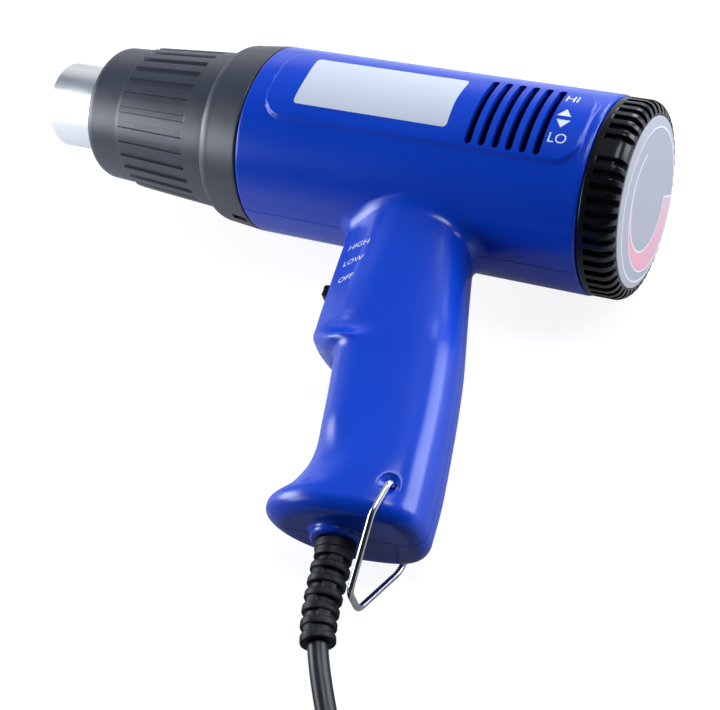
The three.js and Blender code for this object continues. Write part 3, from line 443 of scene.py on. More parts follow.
def prism(outline, low, high):
    """A closed outline in the side view, extruded along z."""
    outline = np.asarray(outline, float)
    count = len(outline)
    x, y = outline.T
    if np.sum(x * np.roll(y, -1) - np.roll(x, -1) * y) < 0:
        outline = outline[::-1]
    verts = np.concatenate([
        np.c_[outline, np.full(count, low)],
        np.c_[outline, np.full(count, high)],
    ])
    ids = np.arange(count)
    sides = np.stack([ids, (ids + 1) % count, (ids + 1) % count + count, ids + count], -1)
    return verts, [sides, ids[None, ::-1], (ids + count)[None]]


def capsule(cx, cy, half_w, half_h, steps=8):
    """The outline of an upright slot with round ends."""
    turn = np.linspace(0, math.pi, steps + 1)
    top = np.c_[cx + half_w * np.cos(turn), cy + half_h - half_w + half_w * np.sin(turn)]
    low = np.c_[cx - half_w * np.cos(turn), cy - half_h + half_w - half_w * np.sin(turn)]
    return np.concatenate([top, low])


def facing(right, up, back, spot):
    """The matrix of a camera or lamp that looks away from its back."""
    return Matrix([[right[i], up[i], back[i], spot[i]] for i in range(3)] + [[0, 0, 0, 1]])


# Camera, fitted to the photograph in the tool's frame

CAMERA_LENS, CAMERA_SENSOR = 79.485, 36
CAMERA_SPOT = (264.31, -352.0395, 439.3204)
CAMERA_RIGHT = (0.88471251, 0.40331748, -0.23370662)
CAMERA_UP = (-0.20558906, 0.78758532, 0.58089802)
CAMERA_BACK = (0.41835023, -0.46588022, 0.77970424)
camera_data = bpy.data.cameras.new("camera")
camera = linked("camera", camera_data)
bpy.context.scene.camera = camera
camera_data.sensor_width = CAMERA_SENSOR
camera_data.sensor_fit = "HORIZONTAL"
camera_data.lens = CAMERA_LENS
camera_data.clip_start = 0.01
camera_data.clip_end = 20
camera_axes = (TURN @ np.array(axis) for axis in (CAMERA_RIGHT, CAMERA_UP, CAMERA_BACK))
camera.matrix_world = facing(*camera_axes, to_part(CAMERA_SPOT))


# Cord: free stretch, then the tied coil on the table, then the plug

def bezier(points, count):
    """Points along a cubic curve from its four control points."""
    p = np.asarray(points, float)
    t = np.linspace(0, 1, count)[:, None]
    return (1 - t) ** 3 * p[0] + 3 * t * (1 - t) ** 2 * p[1] + 3 * t * t * (1 - t) * p[2] + t ** 3 * p[3]


CORD_EXIT = np.array([84.982, -114.883, 15.889])
CORD_OUT = np.array([0.45065, -0.88696, -0.10105])
EXIT_ARM, ENTRY_ARM = 14, 40
ENTRY = math.radians(45)
COIL_HEADING = np.array([math.sin(ENTRY), -math.cos(ENTRY), 0])
COIL_START = np.array([137.313, -181.864, 4.8])
COIL_LEAD = 8.3
COIL_OUTER = 54.0
COIL_LOOPS = 6.375
COIL_PITCH = 7.3
COIL_STEPS = 40
CLIMB = 0.5
TAIL_HEIGHT, TAIL_RUN, TAIL_CLIMB = 13.3, 20, 14


def coil_turns():
    """A flat coil inwards, then a second layer outwards on top of it."""
    middle = COIL_START + COIL_LEAD * COIL_HEADING
    middle = middle - COIL_OUTER * np.array([math.cos(ENTRY), math.sin(ENTRY), 0])
    half = COIL_LOOPS / 2
    loops = np.linspace(0, COIL_LOOPS, int(COIL_LOOPS * COIL_STEPS) + 1)
    reach = COIL_OUTER - COIL_PITCH * (half - abs(loops - half))
    angle = ENTRY - 2 * math.pi * loops
    climb = COIL_PITCH * smooth_step(loops, half - CLIMB / 2, half + CLIMB / 2)
    return middle + np.stack([reach * np.cos(angle), reach * np.sin(angle), climb], -1)


free_stretch = bezier([
    CORD_EXIT, CORD_EXIT + EXIT_ARM * CORD_OUT, COIL_START - ENTRY_ARM * COIL_HEADING, COIL_START,
], 36)
turns = coil_turns()
run = np.linspace(0, TAIL_RUN, 7)[1:]
rise = (TAIL_HEIGHT - turns[-1, 2]) * smooth_step(run, 0, TAIL_CLIMB)
tail = turns[-1] + np.stack([-run, 0 * run, rise], -1)
route = np.concatenate([free_stretch, turns, tail])
cord_curve = bpy.data.curves.new("mains_cord", "CURVE")
cord_curve.dimensions = "3D"
spline = cord_curve.splines.new("POLY")
spline.points.add(len(route) - 1)
spline.points.foreach_set("co", np.c_[route * MM, np.ones(len(route))].ravel())
spline.use_smooth = True
cord_curve.bevel_depth = CORD_R * MM
cord_curve.bevel_resolution = 7
cord_curve.use_fill_caps = True
cord_curve.materials.append(SHEATH)
cord = linked("mains_cord", cord_curve)
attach(cord, "tool")
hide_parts("power_cord", "cord_coil")


# Housing skin as a distance field: barrel, panel, handle, boss and dimples

def union_round(a, b, r):
    """Two fields joined with a fillet."""
    inside = np.maximum(r - a, 0) ** 2 + np.maximum(r - b, 0) ** 2
    return np.maximum(r, np.minimum(a, b)) - np.sqrt(inside)


def cut_round(a, b, r):
    """What lies in both fields, with a rounded edge."""
    inside = np.maximum(r + a, 0) ** 2 + np.maximum(r + b, 0) ** 2
    return np.minimum(-r, np.maximum(a, b)) + np.sqrt(inside)


def oval_section(v, z, at):
    """The handle's section with a full oval front."""
    low, high, half = front_at(at), back_at(at), half_at(at)
    full = np.where(v < (low + high) / 2, FRONT_FULLNESS, BACK_FULLNESS)
    u = np.abs((v - (low + high) / 2) / ((high - low) / 2))
    w = np.abs(z / half)
    size = (u ** full + w ** full) ** (1 / full) + 1e-9
    du = (u / size) ** (full - 1) / ((high - low) / 2)
    dw = (w / size) ** (full - 1) / half
    return (size - 1) / np.sqrt(du ** 2 + dw ** 2)


def facet_section(v, z, at):
    """The section with a round nose, a slanted facet and a flat side."""
    nose, half = nose_radius(at), half_at(at)
    centre = nose_front(at) + nose
    gap = np.maximum(half - nose - np.maximum(facet_drop(at), 0), 0)
    reach, rise = facet_edge(at) - centre, half - gap
    tilt = np.arctan2(rise, reach) - np.arcsin(np.clip(nose / np.hypot(reach, rise), 0, 1))
    tilt = np.maximum(tilt, 0)
    pv, pz = v - centre, np.maximum(z - gap, 0)
    behind = pv * np.cos(tilt) + pz * np.sin(tilt) > 0
    facet = np.where(behind, pz * np.cos(tilt) - pv * np.sin(tilt), np.hypot(pv, pz)) - nose
    return cut_round(facet, z - half, FACET_ROUND * np.clip(tilt / FACET_TILT, 0.01, 1))


def grip_section(v, z, at):
    """The facets fade into the oval towards the foot and the back."""
    oval = oval_section(v, z, at)
    share = smooth_step(at, *FACET_FADE)
    front = facet_section(v, z, at) * (1 - share) + oval * share
    middle = (front_at(at) + back_at(at)) / 2
    behind = smooth_step(v, middle - GRIP_FADE, middle + GRIP_FADE)
    return front * (1 - behind) + oval * behind


def handle_field(x, y, z, step=0.4):
    s = x * math.sin(RAKE) - y * math.cos(RAKE)
    v = x * math.cos(RAKE) + y * math.sin(RAKE)
    slope = FOOT_SLOPE * (v - RELIEF_V) / (HANDLE_BOTTOM - FOOT_START)
    level = np.where(s > FOOT_START, (s + FOOT_START * slope) / (1 + slope), s)
    at = np.clip(level, FRONT[0][0], HANDLE_BOTTOM)
    side = grip_section(v, z, at)
    lean = (grip_section(v, z, at + step) - side) / step
    side = side / np.sqrt(1 + lean ** 2)
    side = cut_round(side, level - HANDLE_BOTTOM, FOOT_ROUND)
    return np.maximum(side, HANDLE_TOP - s), s, v


def body_field(p):
    """How far points are outside the housing's skin, in millimetres."""
    x, y, z = p[..., 0], p[..., 1], np.abs(p[..., 2])
    r = np.sqrt(y * y + z * z)
    ends = np.abs(x - (BARREL_FRONT + BARREL_REAR) / 2) - (BARREL_REAR - BARREL_FRONT) / 2
    barrel = cut_round(r - BARREL_R, ends, BARREL_EDGE)
    px = np.abs(x - sum(PANEL_X) / 2) - ((PANEL_X[1] - PANEL_X[0]) / 2 - PANEL_CORNER)
    py = np.abs(y) - (PANEL_HALF - PANEL_CORNER)
    outline = np.hypot(np.maximum(px, 0), np.maximum(py, 0)) + np.minimum(np.maximum(px, py), 0)
    panel = cut_round(r - BARREL_R - PANEL_RISE, outline - PANEL_CORNER, PANEL_EDGE)
    panel = cut_round(panel, PANEL_SIDE - z, PANEL_SIDE_EDGE)
    grip, s, v = handle_field(x, y, z)
    blend = BLEND_FRONT + (BLEND_SIDE - BLEND_FRONT) * smooth_step(x, *FRONT_FADE)
    blend = blend + (BLEND_BACK - BLEND_SIDE) * smooth_step(x, *BACK_FADE)
    whole = union_round(union_round(barrel, panel, PANEL_FOOT), grip, blend)
    boss = cut_round(np.hypot(v - RELIEF_V, z) - BOSS_R, s - BOSS_END, BOSS_EDGE)
    whole = union_round(whole, np.maximum(boss, BOSS_START - s), BOSS_FOOT)
    ball = (DIMPLE_R ** 2 + DIMPLE_DEPTH ** 2) / (2 * DIMPLE_DEPTH)
    px0, py0, pz0 = handle_point(*PIVOT, PIVOT_SIDE - DIMPLE_DEPTH + ball)
    away = np.sqrt((x - px0) ** 2 + (y - py0) ** 2 + (z - pz0) ** 2) - ball
    return cut_round(whole, -away, DIMPLE_EDGE)


def field_normals(p, step=0.05):
    out = np.empty_like(p)
    for i in range(3):
        off = np.zeros(3)
        off[i] = step
        out[:, i] = body_field(p + off) - body_field(p - off)
    return out / np.linalg.norm(out, axis=1)[:, None]


FIELD_LOW = np.array([BARREL_FRONT - 4, -182.0, 0.0])
FIELD_HIGH = np.array([BARREL_REAR + 4, BARREL_R + 6, BARREL_R + 6])
OUTER_PITCH, INNER_PITCH = 0.85, 1.6


def skin(level, pitch):
    """Closed quads where the body's field has one level, by surface nets on the left half and its mirror."""
    low, high = FIELD_LOW, FIELD_HIGH
    count = np.ceil((high - low) / pitch).astype(int)
    axes = [low[i] + pitch * np.arange(count[i]) for i in range(2)]
    side = pitch * (np.arange(count[2]) + 0.5)
    values = np.empty((count[0], count[1], count[2]), np.float32)
    for i, x in enumerate(axes[0]):
        yy, zz = np.meshgrid(axes[1], side, indexing="ij")
        values[i] = body_field(np.stack([np.full_like(yy, x), yy, zz], -1)) - level
    values = np.concatenate([values[:, :, ::-1], values], 2)
    start = np.array([low[0], low[1], -side[-1]])
    inside = values < 0
    shape = np.array(values.shape)
    corner = [(i, j, k) for i in (0, 1) for j in (0, 1) for k in (0, 1)]
    view = {c: tuple(slice(c[a], shape[a] - 1 + c[a]) for a in range(3)) for c in corner}
    mixed = np.zeros(shape - 1, bool)
    for c in corner:
        mixed |= inside[view[c]] != inside[view[(0, 0, 0)]]
    cells = np.argwhere(mixed)
    sums = np.zeros((len(cells), 3))
    number = np.zeros(len(cells))
    for a in corner:
        for axis in range(3):
            if a[axis]:
                continue
            b = tuple(1 if i == axis else a[i] for i in range(3))
            va = values[tuple((cells + a).T)]
            vb = values[tuple((cells + b).T)]
            crossing = (va < 0) != (vb < 0)
            t = np.where(crossing, va / np.where(crossing, va - vb, 1), 0)
            at = np.array(a, float) + t[:, None] * np.eye(3)[axis]
            sums += np.where(crossing[:, None], at, 0)
            number += crossing
    verts = start + pitch * (cells + sums / number[:, None])
    index = np.full(shape - 1, -1, np.int64)
    index[tuple(cells.T)] = np.arange(len(cells))
    quads = []
    for axis in range(3):
        one, two = (axis + 1) % 3, (axis + 2) % 3
        lower = [slice(1, shape[i] - 1) for i in range(3)]
        lower[axis] = slice(0, shape[axis] - 1)
        upper = list(lower)
        upper[axis] = slice(1, shape[axis])
        a, b = inside[tuple(lower)], inside[tuple(upper)]
        spots = np.argwhere(a != b)
        spots[:, one] += 1
        spots[:, two] += 1
        step_one, step_two = np.eye(3, dtype=int)[one], np.eye(3, dtype=int)[two]
        around_edge = (-step_one - step_two, -step_two, 0 * step_one, -step_one)
        quad = np.stack([index[tuple((spots + d).T)] for d in around_edge], -1)
        outward = a[tuple((spots - np.array([0 if i == axis else 1 for i in range(3)])).T)]
        quads.append(np.where(outward[:, None], quad, quad[:, ::-1]))
    quads = np.concatenate(quads)
    for _ in range(3):
        gap = body_field(verts) - level
        move = np.clip(gap, -0.6 * pitch, 0.6 * pitch)
        verts = verts - move[:, None] * field_normals(verts)
    return verts, quads


outer_verts, outer_quads = skin(0.0, OUTER_PITCH)
inner_verts, inner_quads = skin(-WALL, INNER_PITCH)
shell = loose("shell", *merged((outer_verts, [outer_quads]), (inner_verts, [inner_quads[:, ::-1]])))

OUTSIDE = 60
VENTS, VENT_REAR, VENT_PITCH = 6, 18.4, 5.2
VENT_HALF_WIDTH, VENT_HALF_SPAN, VENT_DEPTH = 1.4, 15.4, 22
SHAFT_HOLE, RELIEF_HOLE, PIVOT_HOLE = 4.1, 6.5, 1.45
cuts = []
for i in range(VENTS):
    slot = capsule(BARREL_REAR - VENT_REAR - VENT_PITCH * i, 0, VENT_HALF_WIDTH, VENT_HALF_SPAN)
    cuts.append(prism(slot, VENT_DEPTH, OUTSIDE))
    cuts.append(prism(slot, -OUTSIDE, -VENT_DEPTH))


def rod(radius, start, end, count=64):
    """A plain round cutter between two points."""
    start, end = np.asarray(start, float), np.asarray(end, float)
    return tube_along([start, (start + end) / 2, end], radius, count, hint=(0.3, 0.2, 0.93))


cuts.append(rod(BORE_R, (BARREL_FRONT - 6, 0, 0), (BARREL_FRONT + 4, 0, 0), 128))
cuts.append(rod(SHAFT_HOLE, (BARREL_REAR - 6, 0, 0), (BARREL_REAR + 6, 0, 0)))
cuts.append(rod(RELIEF_HOLE, handle_point(155, RELIEF_V), handle_point(175, RELIEF_V)))
cuts.append(rod(PIVOT_HOLE, handle_point(*PIVOT, -30), handle_point(*PIVOT, 30), 32))


def switch_points(outline, low, high):
    """A prism in the slider's frame: depth into the handle, then along the slide from OFF."""
    top, foot = SWITCH_OFF - SWITCH_TRAVEL - NUB_HALF, SWITCH_OFF + NUB_HALF
    tilt = math.atan2(float(front_at(foot) - front_at(top)), foot - top)
    base = float(front_at(SWITCH_OFF))
    verts, faces = prism(outline, low, high)
    across = verts[:, 0] * math.cos(tilt) - verts[:, 1] * math.sin(tilt)
    along = verts[:, 0] * math.sin(tilt) + verts[:, 1] * math.cos(tilt)
    spots = [handle_point(SWITCH_OFF - a, base + c, z) for a, c, z in zip(along, across, verts[:, 2])]
    return np.array(spots), faces


SLOT_HALF = 2.85
SLOT_END = SWITCH_TRAVEL + SLOT_HALF
slide_slot = [(-9, -SLOT_HALF), (-9, SLOT_END), (4.3, SLOT_END), (4.3, -SLOT_HALF)]
cuts.append(switch_points(slide_slot, -SLOT_HALF, SLOT_HALF))

SCREWS = [(10, 27), (62, 27), (62, -27), handle_point(96, 27)[:2], handle_point(141, 28)[:2]]
SCREW_SEAT = -8.3
POST_R, WELL_R, SCREW_GAP = 4.7, 3.2, 0.3
outer = loose("outer", outer_verts, [outer_quads])
for x, y in SCREWS:
    post = loose("post", *rod(POST_R, (x, y, -OUTSIDE), (x, y, -SCREW_GAP), 48))
    combine(post, outer, "INTERSECT")
    combine(shell, post, "UNION")
    discard(post)
    cuts.append(rod(WELL_R, (x, y, -OUTSIDE), (x, y, SCREW_SEAT + SCREW_GAP), 48))
discard(outer)
for cut in cuts:
    cutter = loose("cutter", *cut)
    combine(shell, cutter, "DIFFERENCE")
    discard(cutter)


def housing_half(name, node, side):
    """One half of the cut shell, shaded by the field's own normals where it is skin."""
    half = shell.copy()
    half.data = shell.data.copy()
    half.name = name
    bpy.context.scene.collection.objects.link(half)
    low, high = sorted((side * PARTING / 2, side * 80))
    outline = [(-100, -250), (160, -250), (160, 80), (-100, 80)]
    room = loose("room", *prism(outline, low, high))
    combine(half, room, "INTERSECT")
    discard(room)
    mesh = half.data
    spots = (read(mesh.vertices, "co", 3) / MM - SHIFT) @ TURN
    on_skin = np.abs(body_field(spots)) < 0.02
    normals = np.zeros_like(spots)
    normals[on_skin] = field_normals(spots[on_skin]) @ TURN.T
    loops_v = read(mesh.loops, "vertex_index", 1, np.int32)
    totals = read(mesh.polygons, "loop_total", 1, np.int32)
    owner = np.repeat(np.arange(len(totals)), totals)
    flat = read(mesh.polygons, "normal", 3)
    skin_face = np.ones(len(totals), bool)
    np.logical_and.at(skin_face, owner, on_skin[loops_v])
    agree = np.einsum("ij,ij->i", normals[loops_v], flat[owner]) > 0.35
    use = skin_face[owner] & agree
    corner = np.where(use[:, None], normals[loops_v], flat[owner])
    dress(half, BLUE, "tool", "housing", (node,), None)
    mesh.polygons.foreach_set("use_smooth", np.ones(len(mesh.polygons), bool))
    mesh.normals_split_custom_set(corner)


housing_half("housing_shell_left", "housing_left", 1)
housing_half("housing_shell_right", "housing_right", -1)
discard(shell)


# Guard sleeve: a shallow cone with a raised, grooved band

GUARD_FRONT, GUARD_REAR = -124.0, -65.6
GUARD_TIP_LENGTH, GUARD_TIP_HEIGHT = 3.0, 1.8
GUARD_R, GUARD_GROWTH = 27.3, 0.6 / 13.1
BAND, BAND_FOOT, BAND_R, BAND_GROWTH = -107.7, 27.95, 29.05, 2.85 / 40.8
GROOVES = 30
GROOVE_W, GROOVE_D, GROOVE_END = 2.6, 1.1, -75.2


def guard_piece():
    """The grooves run out through the band's front, level with the cone before it."""
    pitch = 2 * math.pi / GROOVES
    half = GROOVE_W / 2 / 30.0
    offsets = np.array([0, 0.5, 0.8, 0.9, 0.96, 1.0, 1.05, 1.12, 1.25])
    ways = np.concatenate([offsets * half, np.linspace(1.5 * half, pitch / 2, 4)[:-1]])
    one = np.concatenate([-ways[:0:-1], ways, [pitch / 2]])
    phi = np.concatenate([one + i * pitch for i in range(GROOVES)])
    nose = [
        (GUARD_FRONT + GUARD_TIP_LENGTH * (1 - math.cos(a)), GUARD_R + GUARD_TIP_HEIGHT * (math.sin(a) - 1))
        for a in np.linspace(0, math.pi / 2, 9)
    ]
    tip = GUARD_FRONT + GUARD_TIP_LENGTH
    body = [(x, GUARD_R + GUARD_GROWTH * (x - tip)) for x in np.linspace(-120.0, -108.0, 8)]
    steps = ((-0.05, BAND_FOOT), (0.08, 28.05), (0.2, 28.45), (0.32, 28.9), (0.5, BAND_R))
    step = [(BAND + d, r) for d, r in steps]
    band_x = [-107.0, -106.8, -106.6, -106.4, -106.2, -106.0, -105.5, *np.linspace(-104, -77, 18)]
    band_x += [GROOVE_END + d for d in (-0.9, -0.5, -0.25, -0.1, 0, 0.1, 0.25, 0.5, 1.1, 3.2, 6.2, 8.6)]
    band = [(x, BAND_R + BAND_GROWTH * (x - BAND - 0.5)) for x in band_x]
    end = [(-66.2, 31.9), (-65.85, 31.8), (-65.65, 31.5), (GUARD_REAR, 31.1)]
    inner = [(GUARD_REAR, 29.5), (-90.0, 27.5), (-119.6, 25.05), (-121.2, 24.2), (-121.2, 21.4)]
    lip = [(-121.5, 21.0), (-123.2, 21.0), (-123.8, 21.2), (GUARD_FRONT, 21.6)]
    x, r = np.array(nose + body + step + band + end + inner + lip).T
    wave = np.abs((phi + pitch / 2) % pitch - pitch / 2)
    across = 1 - smooth_step(wave, half * 0.9, half * 1.06)
    along = (x > BAND - 0.1) * (1 - smooth_step(x, GROOVE_END - 0.25, GROOVE_END + 0.15))
    outerside = np.arange(len(x)) < len(nose + body + step + band)
    depth = GROOVE_D * across[None] * (along * outerside)[:, None]
    return spun(x, np.maximum(r[:, None] - depth, np.minimum(r, BAND_FOOT)[:, None]), phi)


piece("guard_sleeve", *guard_piece(), GUARD, "tool", "guard", ("nozzle_guard",), crease=38)


# Collar with its rounded shoulder and latch slot

COLLAR_FRONT, COLLAR_LENGTH, COLLAR_R = -65.3, 4.6, 35.7
SLOT_ANGLE = math.radians(-103)
LATCH_SLOT = [(-55.2, -1.8), (-48.4, -1.8), (-48.4, 1.8), (-55.2, 1.8)]


def collar_piece():
    shoulder = [
        (COLLAR_FRONT + COLLAR_LENGTH * (1 - math.cos(a)), COLLAR_R + 2.3 * (math.sin(a) - 1))
        for a in np.linspace(0, math.pi / 2, 14)
    ]
    flank = [(x, COLLAR_R + 1.3 * (x + 60.7) / 12.9) for x in np.linspace(-59.5, -48.2, 10)]
    rear = [(-47.75, 36.98), (-47.45, 36.85), (-47.3, 36.5)]
    inside = [
        (-47.3, 34.2), (-40.0, 34.2), (-40.0, 26.0), (-72.3, 26.0), (-72.3, 28.35), (-65.5, 29.2),
        (COLLAR_FRONT, 29.5),
    ]
    return revolve((shoulder + flank + rear + inside)[::-1], 180)


collar = loose("guard_collar_ring", *collar_piece())
slot_verts, slot_faces = prism(rounded(LATCH_SLOT, 0.8), 34.9, 45)
slot_x, slot_y, slot_z = slot_verts.T
cutter = loose("cutter", np.stack([
    slot_x,
    slot_y * math.cos(SLOT_ANGLE) + slot_z * math.sin(SLOT_ANGLE),
    -slot_y * math.sin(SLOT_ANGLE) + slot_z * math.cos(SLOT_ANGLE),
], -1), slot_faces)
combine(collar, cutter, "DIFFERENCE")
discard(cutter)
dress(collar, GUARD, "tool", "guard", ("guard_collar",), 30)


# Hot air tube with its rear flange

TUBE_FRONT, TUBE_REAR = -150.0, -57.3
TUBE_R, TUBE_BORE, FLANGE_R = 17.5, 16.7, 25.7
tube_outline = rounded([
    (TUBE_FRONT, TUBE_BORE), (TUBE_FRONT, TUBE_R), (TUBE_REAR - 1, TUBE_R),
    (TUBE_REAR - 1, FLANGE_R), (TUBE_REAR, FLANGE_R), (TUBE_REAR, TUBE_BORE),
], [0.35, 0.35, 0.5, 0.3, 0.3, 0.3], 4)
piece("outlet_tube", *revolve(tube_outline, 160), TUBE, "tool", "bright_steel", ("nozzle_tube",), crease=30)


# Dial: pitches of ribs with one wide index rib, and a smooth front band

DIAL_FRONT, DIAL_REAR = 91.35, 104.4
DIAL_R, DIAL_ROUND = 36.6, 4.6
DIAL_RIBS, RIB_GAP = 48, 2.5
FLOOR_R, FLOOR_FALL = 34.9, 2.8
INDEX = math.radians(-12.4)
DISC_FRONT, DISC_REAR, DISC_R = 103.6, 104.7, 31.5


def dial_piece():
    pitch = 2 * math.pi / DIAL_RIBS
    half = RIB_GAP / 2 / DIAL_R
    ways = half * np.array([0, 0.5, 0.8, 0.92, 1.0, 1.08, 1.2, 1.45])
    one = np.concatenate([-ways[:0:-1], ways, [0.5 * (ways[-1] + pitch / 2), pitch / 2]])
    psi = np.concatenate([one + i * pitch for i in range(DIAL_RIBS)])
    gap = np.repeat(np.arange(DIAL_RIBS) != 0, len(one))
    wave = np.abs((psi + pitch / 2) % pitch - pitch / 2)
    across = np.where(gap, 1 - smooth_step(wave, half * 0.86, half * 1.1), 0)
    band = [(DIAL_FRONT, 35.9), (91.5, 36.35), (91.8, 36.55), (92.3, DIAL_R), (93.3, DIAL_R)]
    ribs = [(x, DIAL_R) for x in (93.8, 94.0, 94.15, 94.3, 94.5, 94.8, 95.5, 96.6, 98.0, 99.2)]
    bend = DIAL_REAR - DIAL_ROUND
    for a in np.linspace(0, math.radians(80), 12):
        ribs.append((bend + DIAL_ROUND * math.sin(a), DIAL_R + DIAL_ROUND * (math.cos(a) - 1)))
    lip = [(DIAL_REAR, 31.95), (104.3, 31.8), (103.3, 31.8), (103.3, 6.0)]
    inner = [(101.1, 6.0), (101.1, 33.1), (DIAL_FRONT, 33.1)]
    x, r = np.array(band + ribs + lip + inner).T
    on = np.arange(len(x))
    ribbed = (on >= len(band)) & (on < len(band + ribs))
    along = smooth_step(x, 93.95, 94.4) * ribbed
    floor_r = FLOOR_R - FLOOR_FALL * np.clip((x - bend) / DIAL_ROUND, 0, 1)
    depth = (r - floor_r)[:, None] * across[None] * along[:, None]
    verts, (quads,) = spun(x, r[:, None] - depth, INDEX + psi)
    return verts, [quads[:, ::-1]]


piece("dial_wheel", *dial_piece(), BLACK, "dial", "black_plastic", ("temperature_dial",), crease=38)
disc_outline = rounded([
    (DISC_FRONT, 0.02), (DISC_FRONT, DISC_R), (DISC_REAR, DISC_R), (DISC_REAR, 0.02),
], [0, 0.2, 0.35, 0], 4)
piece("dial_disc", *revolve(disc_outline[::-1], 160), RING, "dial", "face", ("dial_face",), crease=30)


# Print on the disc, in (y, z) places: a thin ring and a crescent between two nearly touching circles

FACE_MIDDLE, FACE_RADIUS = np.array([3.7, -5.0]), 24.7
CORE_MIDDLE, CORE_RADIUS = np.array([1.7, -0.2]), 19.3
RING_MIDDLE, RING_RADIUS = np.array([1.0, -2.2]), 28.0


def face_patch(edges, lift):
    """A flat printed shape on the disc between its outer and its inner edge."""
    outer, inner = edges
    count = len(outer)
    verts = np.c_[np.full(2 * count, DISC_REAR + lift), np.concatenate([outer, inner])]
    ids = np.arange(count - 1)
    quads = np.stack([ids, ids + 1, ids + 1 + count, ids + count], -1)
    sweep = np.sum(outer[:-1, 0] * outer[1:, 1] - outer[1:, 0] * outer[:-1, 1])
    return verts, [quads if sweep > 0 else quads[:, ::-1]]


def circles(centre, radii, start=0.0, end=360.0, count=121):
    """Two arcs about one centre, in degrees."""
    t = np.radians(np.linspace(start, end, count))
    return [np.c_[centre[0] + radius * np.sin(t), centre[1] + radius * np.cos(t)] for radius in radii]


def wedge_edges(inset, tip, end):
    """Outer and inner edge of the crescent, seen from the core's middle."""
    ways = np.radians(np.linspace(tip, end, 90))
    aim = np.stack([np.sin(ways), np.cos(ways)], -1)
    lead = CORE_MIDDLE - FACE_MIDDLE
    along = aim @ lead
    reach = -along + np.sqrt(along ** 2 - lead @ lead + (FACE_RADIUS - inset) ** 2)
    return CORE_MIDDLE + aim * reach[:, None], CORE_MIDDLE + aim * (CORE_RADIUS + inset)


for name, edges, lift, material in (
    ("face_inner", circles(RING_MIDDLE, (RING_RADIUS + 0.2, 0.05)), 0.02, FACE),
    ("face_circle", circles(RING_MIDDLE, (RING_RADIUS + 0.6, RING_RADIUS)), 0.04, PRINT),
    ("face_tail", circles(CORE_MIDDLE, (CORE_RADIUS + 0.45, CORE_RADIUS - 0.35), 15, -30, 60), 0.04, PRINT),
    ("face_wedge_edge", wedge_edges(-0.45, -30, -225.5), 0.05, PRINT),
    ("face_wedge", wedge_edges(0.15, -40, -224), 0.07, RED),
):
    piece(name, *face_patch(edges, lift), material, "dial", "face")


# Slider in the handle's front: a ridged nub on a plate behind the wall

PLATE_HALF = 10.5
RIDGES, RIDGE = 9, 0.3


def slider_piece():
    ridges = [(-1.9 + RIDGE * (i % 2), -1.2 + RIDGE * i) for i in range(RIDGES)]
    nub = [(-1.7, -NUB_HALF)] + ridges + [(-1.7, NUB_HALF)]
    plate = [
        (4.5, NUB_HALF), (4.5, PLATE_HALF), (6.5, PLATE_HALF),
        (6.5, -PLATE_HALF), (4.5, -PLATE_HALF), (4.5, -NUB_HALF),
    ]
    outline = rounded(nub + plate, [1.1] + [0.1] * RIDGES + [1.1] + [0.3] * 6, 4)
    return switch_points(outline, -NUB_HALF, NUB_HALF)


piece("thumb_slider", *slider_piece(), BLACK, "switch", "black_plastic", ("switch_slider",), crease=30)


# Hanging bail: one bent wire

BAIL_WIRE, BAIL_BEND = 1.1, 2.6
BAIL_LEAN = math.radians(19.5)
BAIL_CORNERS = [(11, 0), (BAIL_SIDE, 0), (BAIL_SIDE, 12.6), (5.8, 35)]


def bail_points():
    """The wire's middle line, from (side, drop) corners turned by its bend."""
    corners = BAIL_CORNERS + [(-side, drop) for side, drop in BAIL_CORNERS[::-1]]
    corners = [np.array(c, float) for c in corners]
    flat = [corners[0]]
    t = np.linspace(0, 1, 9)[:, None]
    for a, b, c in zip(corners, corners[1:], corners[2:]):
        into = b + (a - b) / np.linalg.norm(a - b) * BAIL_BEND
        away = b + (c - b) / np.linalg.norm(c - b) * BAIL_BEND
        flat += list((1 - t) ** 2 * into + 2 * t * (1 - t) * b + t * t * away)
    flat.append(corners[-1])
    down, across = math.cos(BAIL_LEAN), -math.sin(BAIL_LEAN)
    return [handle_point(PIVOT[0] + drop * down, PIVOT[1] + drop * across, side) for side, drop in flat]


bail_tube = tube_along(bail_points(), BAIL_WIRE, 20, hint=handle_point(0, 1))
piece("bail_wire", *bail_tube, STEEL, "bail", "bright_steel", ("hang_bail",), crease=40)


# Strain relief: a smooth collar in two steps, then rings with staggered gaps, bent to one side

RELIEF_COLLAR = [
    (160.5, 0.4), (160.5, 9.0), (163.0, 9.0), (163.0, 6.2), (170.3, 6.2), (170.3, 6.75), (173.4, 6.75),
    (173.6, 6.4), (176.3, 6.35), (176.3, 0.4),
]
CORE_START, RINGS_START = 175.0, 176.3
RINGS, RING_PITCH, RING_WIDTH = 6, 4.9, 2.7
CORE_R, CREST_R, CREST_TAPER = 4.9, 6.6, 0.9
BRIDGE_DROP, BRIDGE_EDGE, BRIDGE_TURN = 0.45, (0.34, 0.5), (58, 118)


def relief_bend(points):
    """Moves (down, across from the axis, side) points onto the bent axis."""
    down, off, side = points.T
    run = RELIEF_END - RELIEF_START
    t = np.maximum(down - RELIEF_START, 0) / run
    slope = np.arctan(RELIEF_SWING * (3 * t * t - 2 * t) / run)
    across = RELIEF_V - RELIEF_SWING * t * t * (1 - t) + off * np.cos(slope)
    along = down - off * np.sin(slope)
    return np.array([handle_point(a, c, z) for a, c, z in zip(along, across, side)])


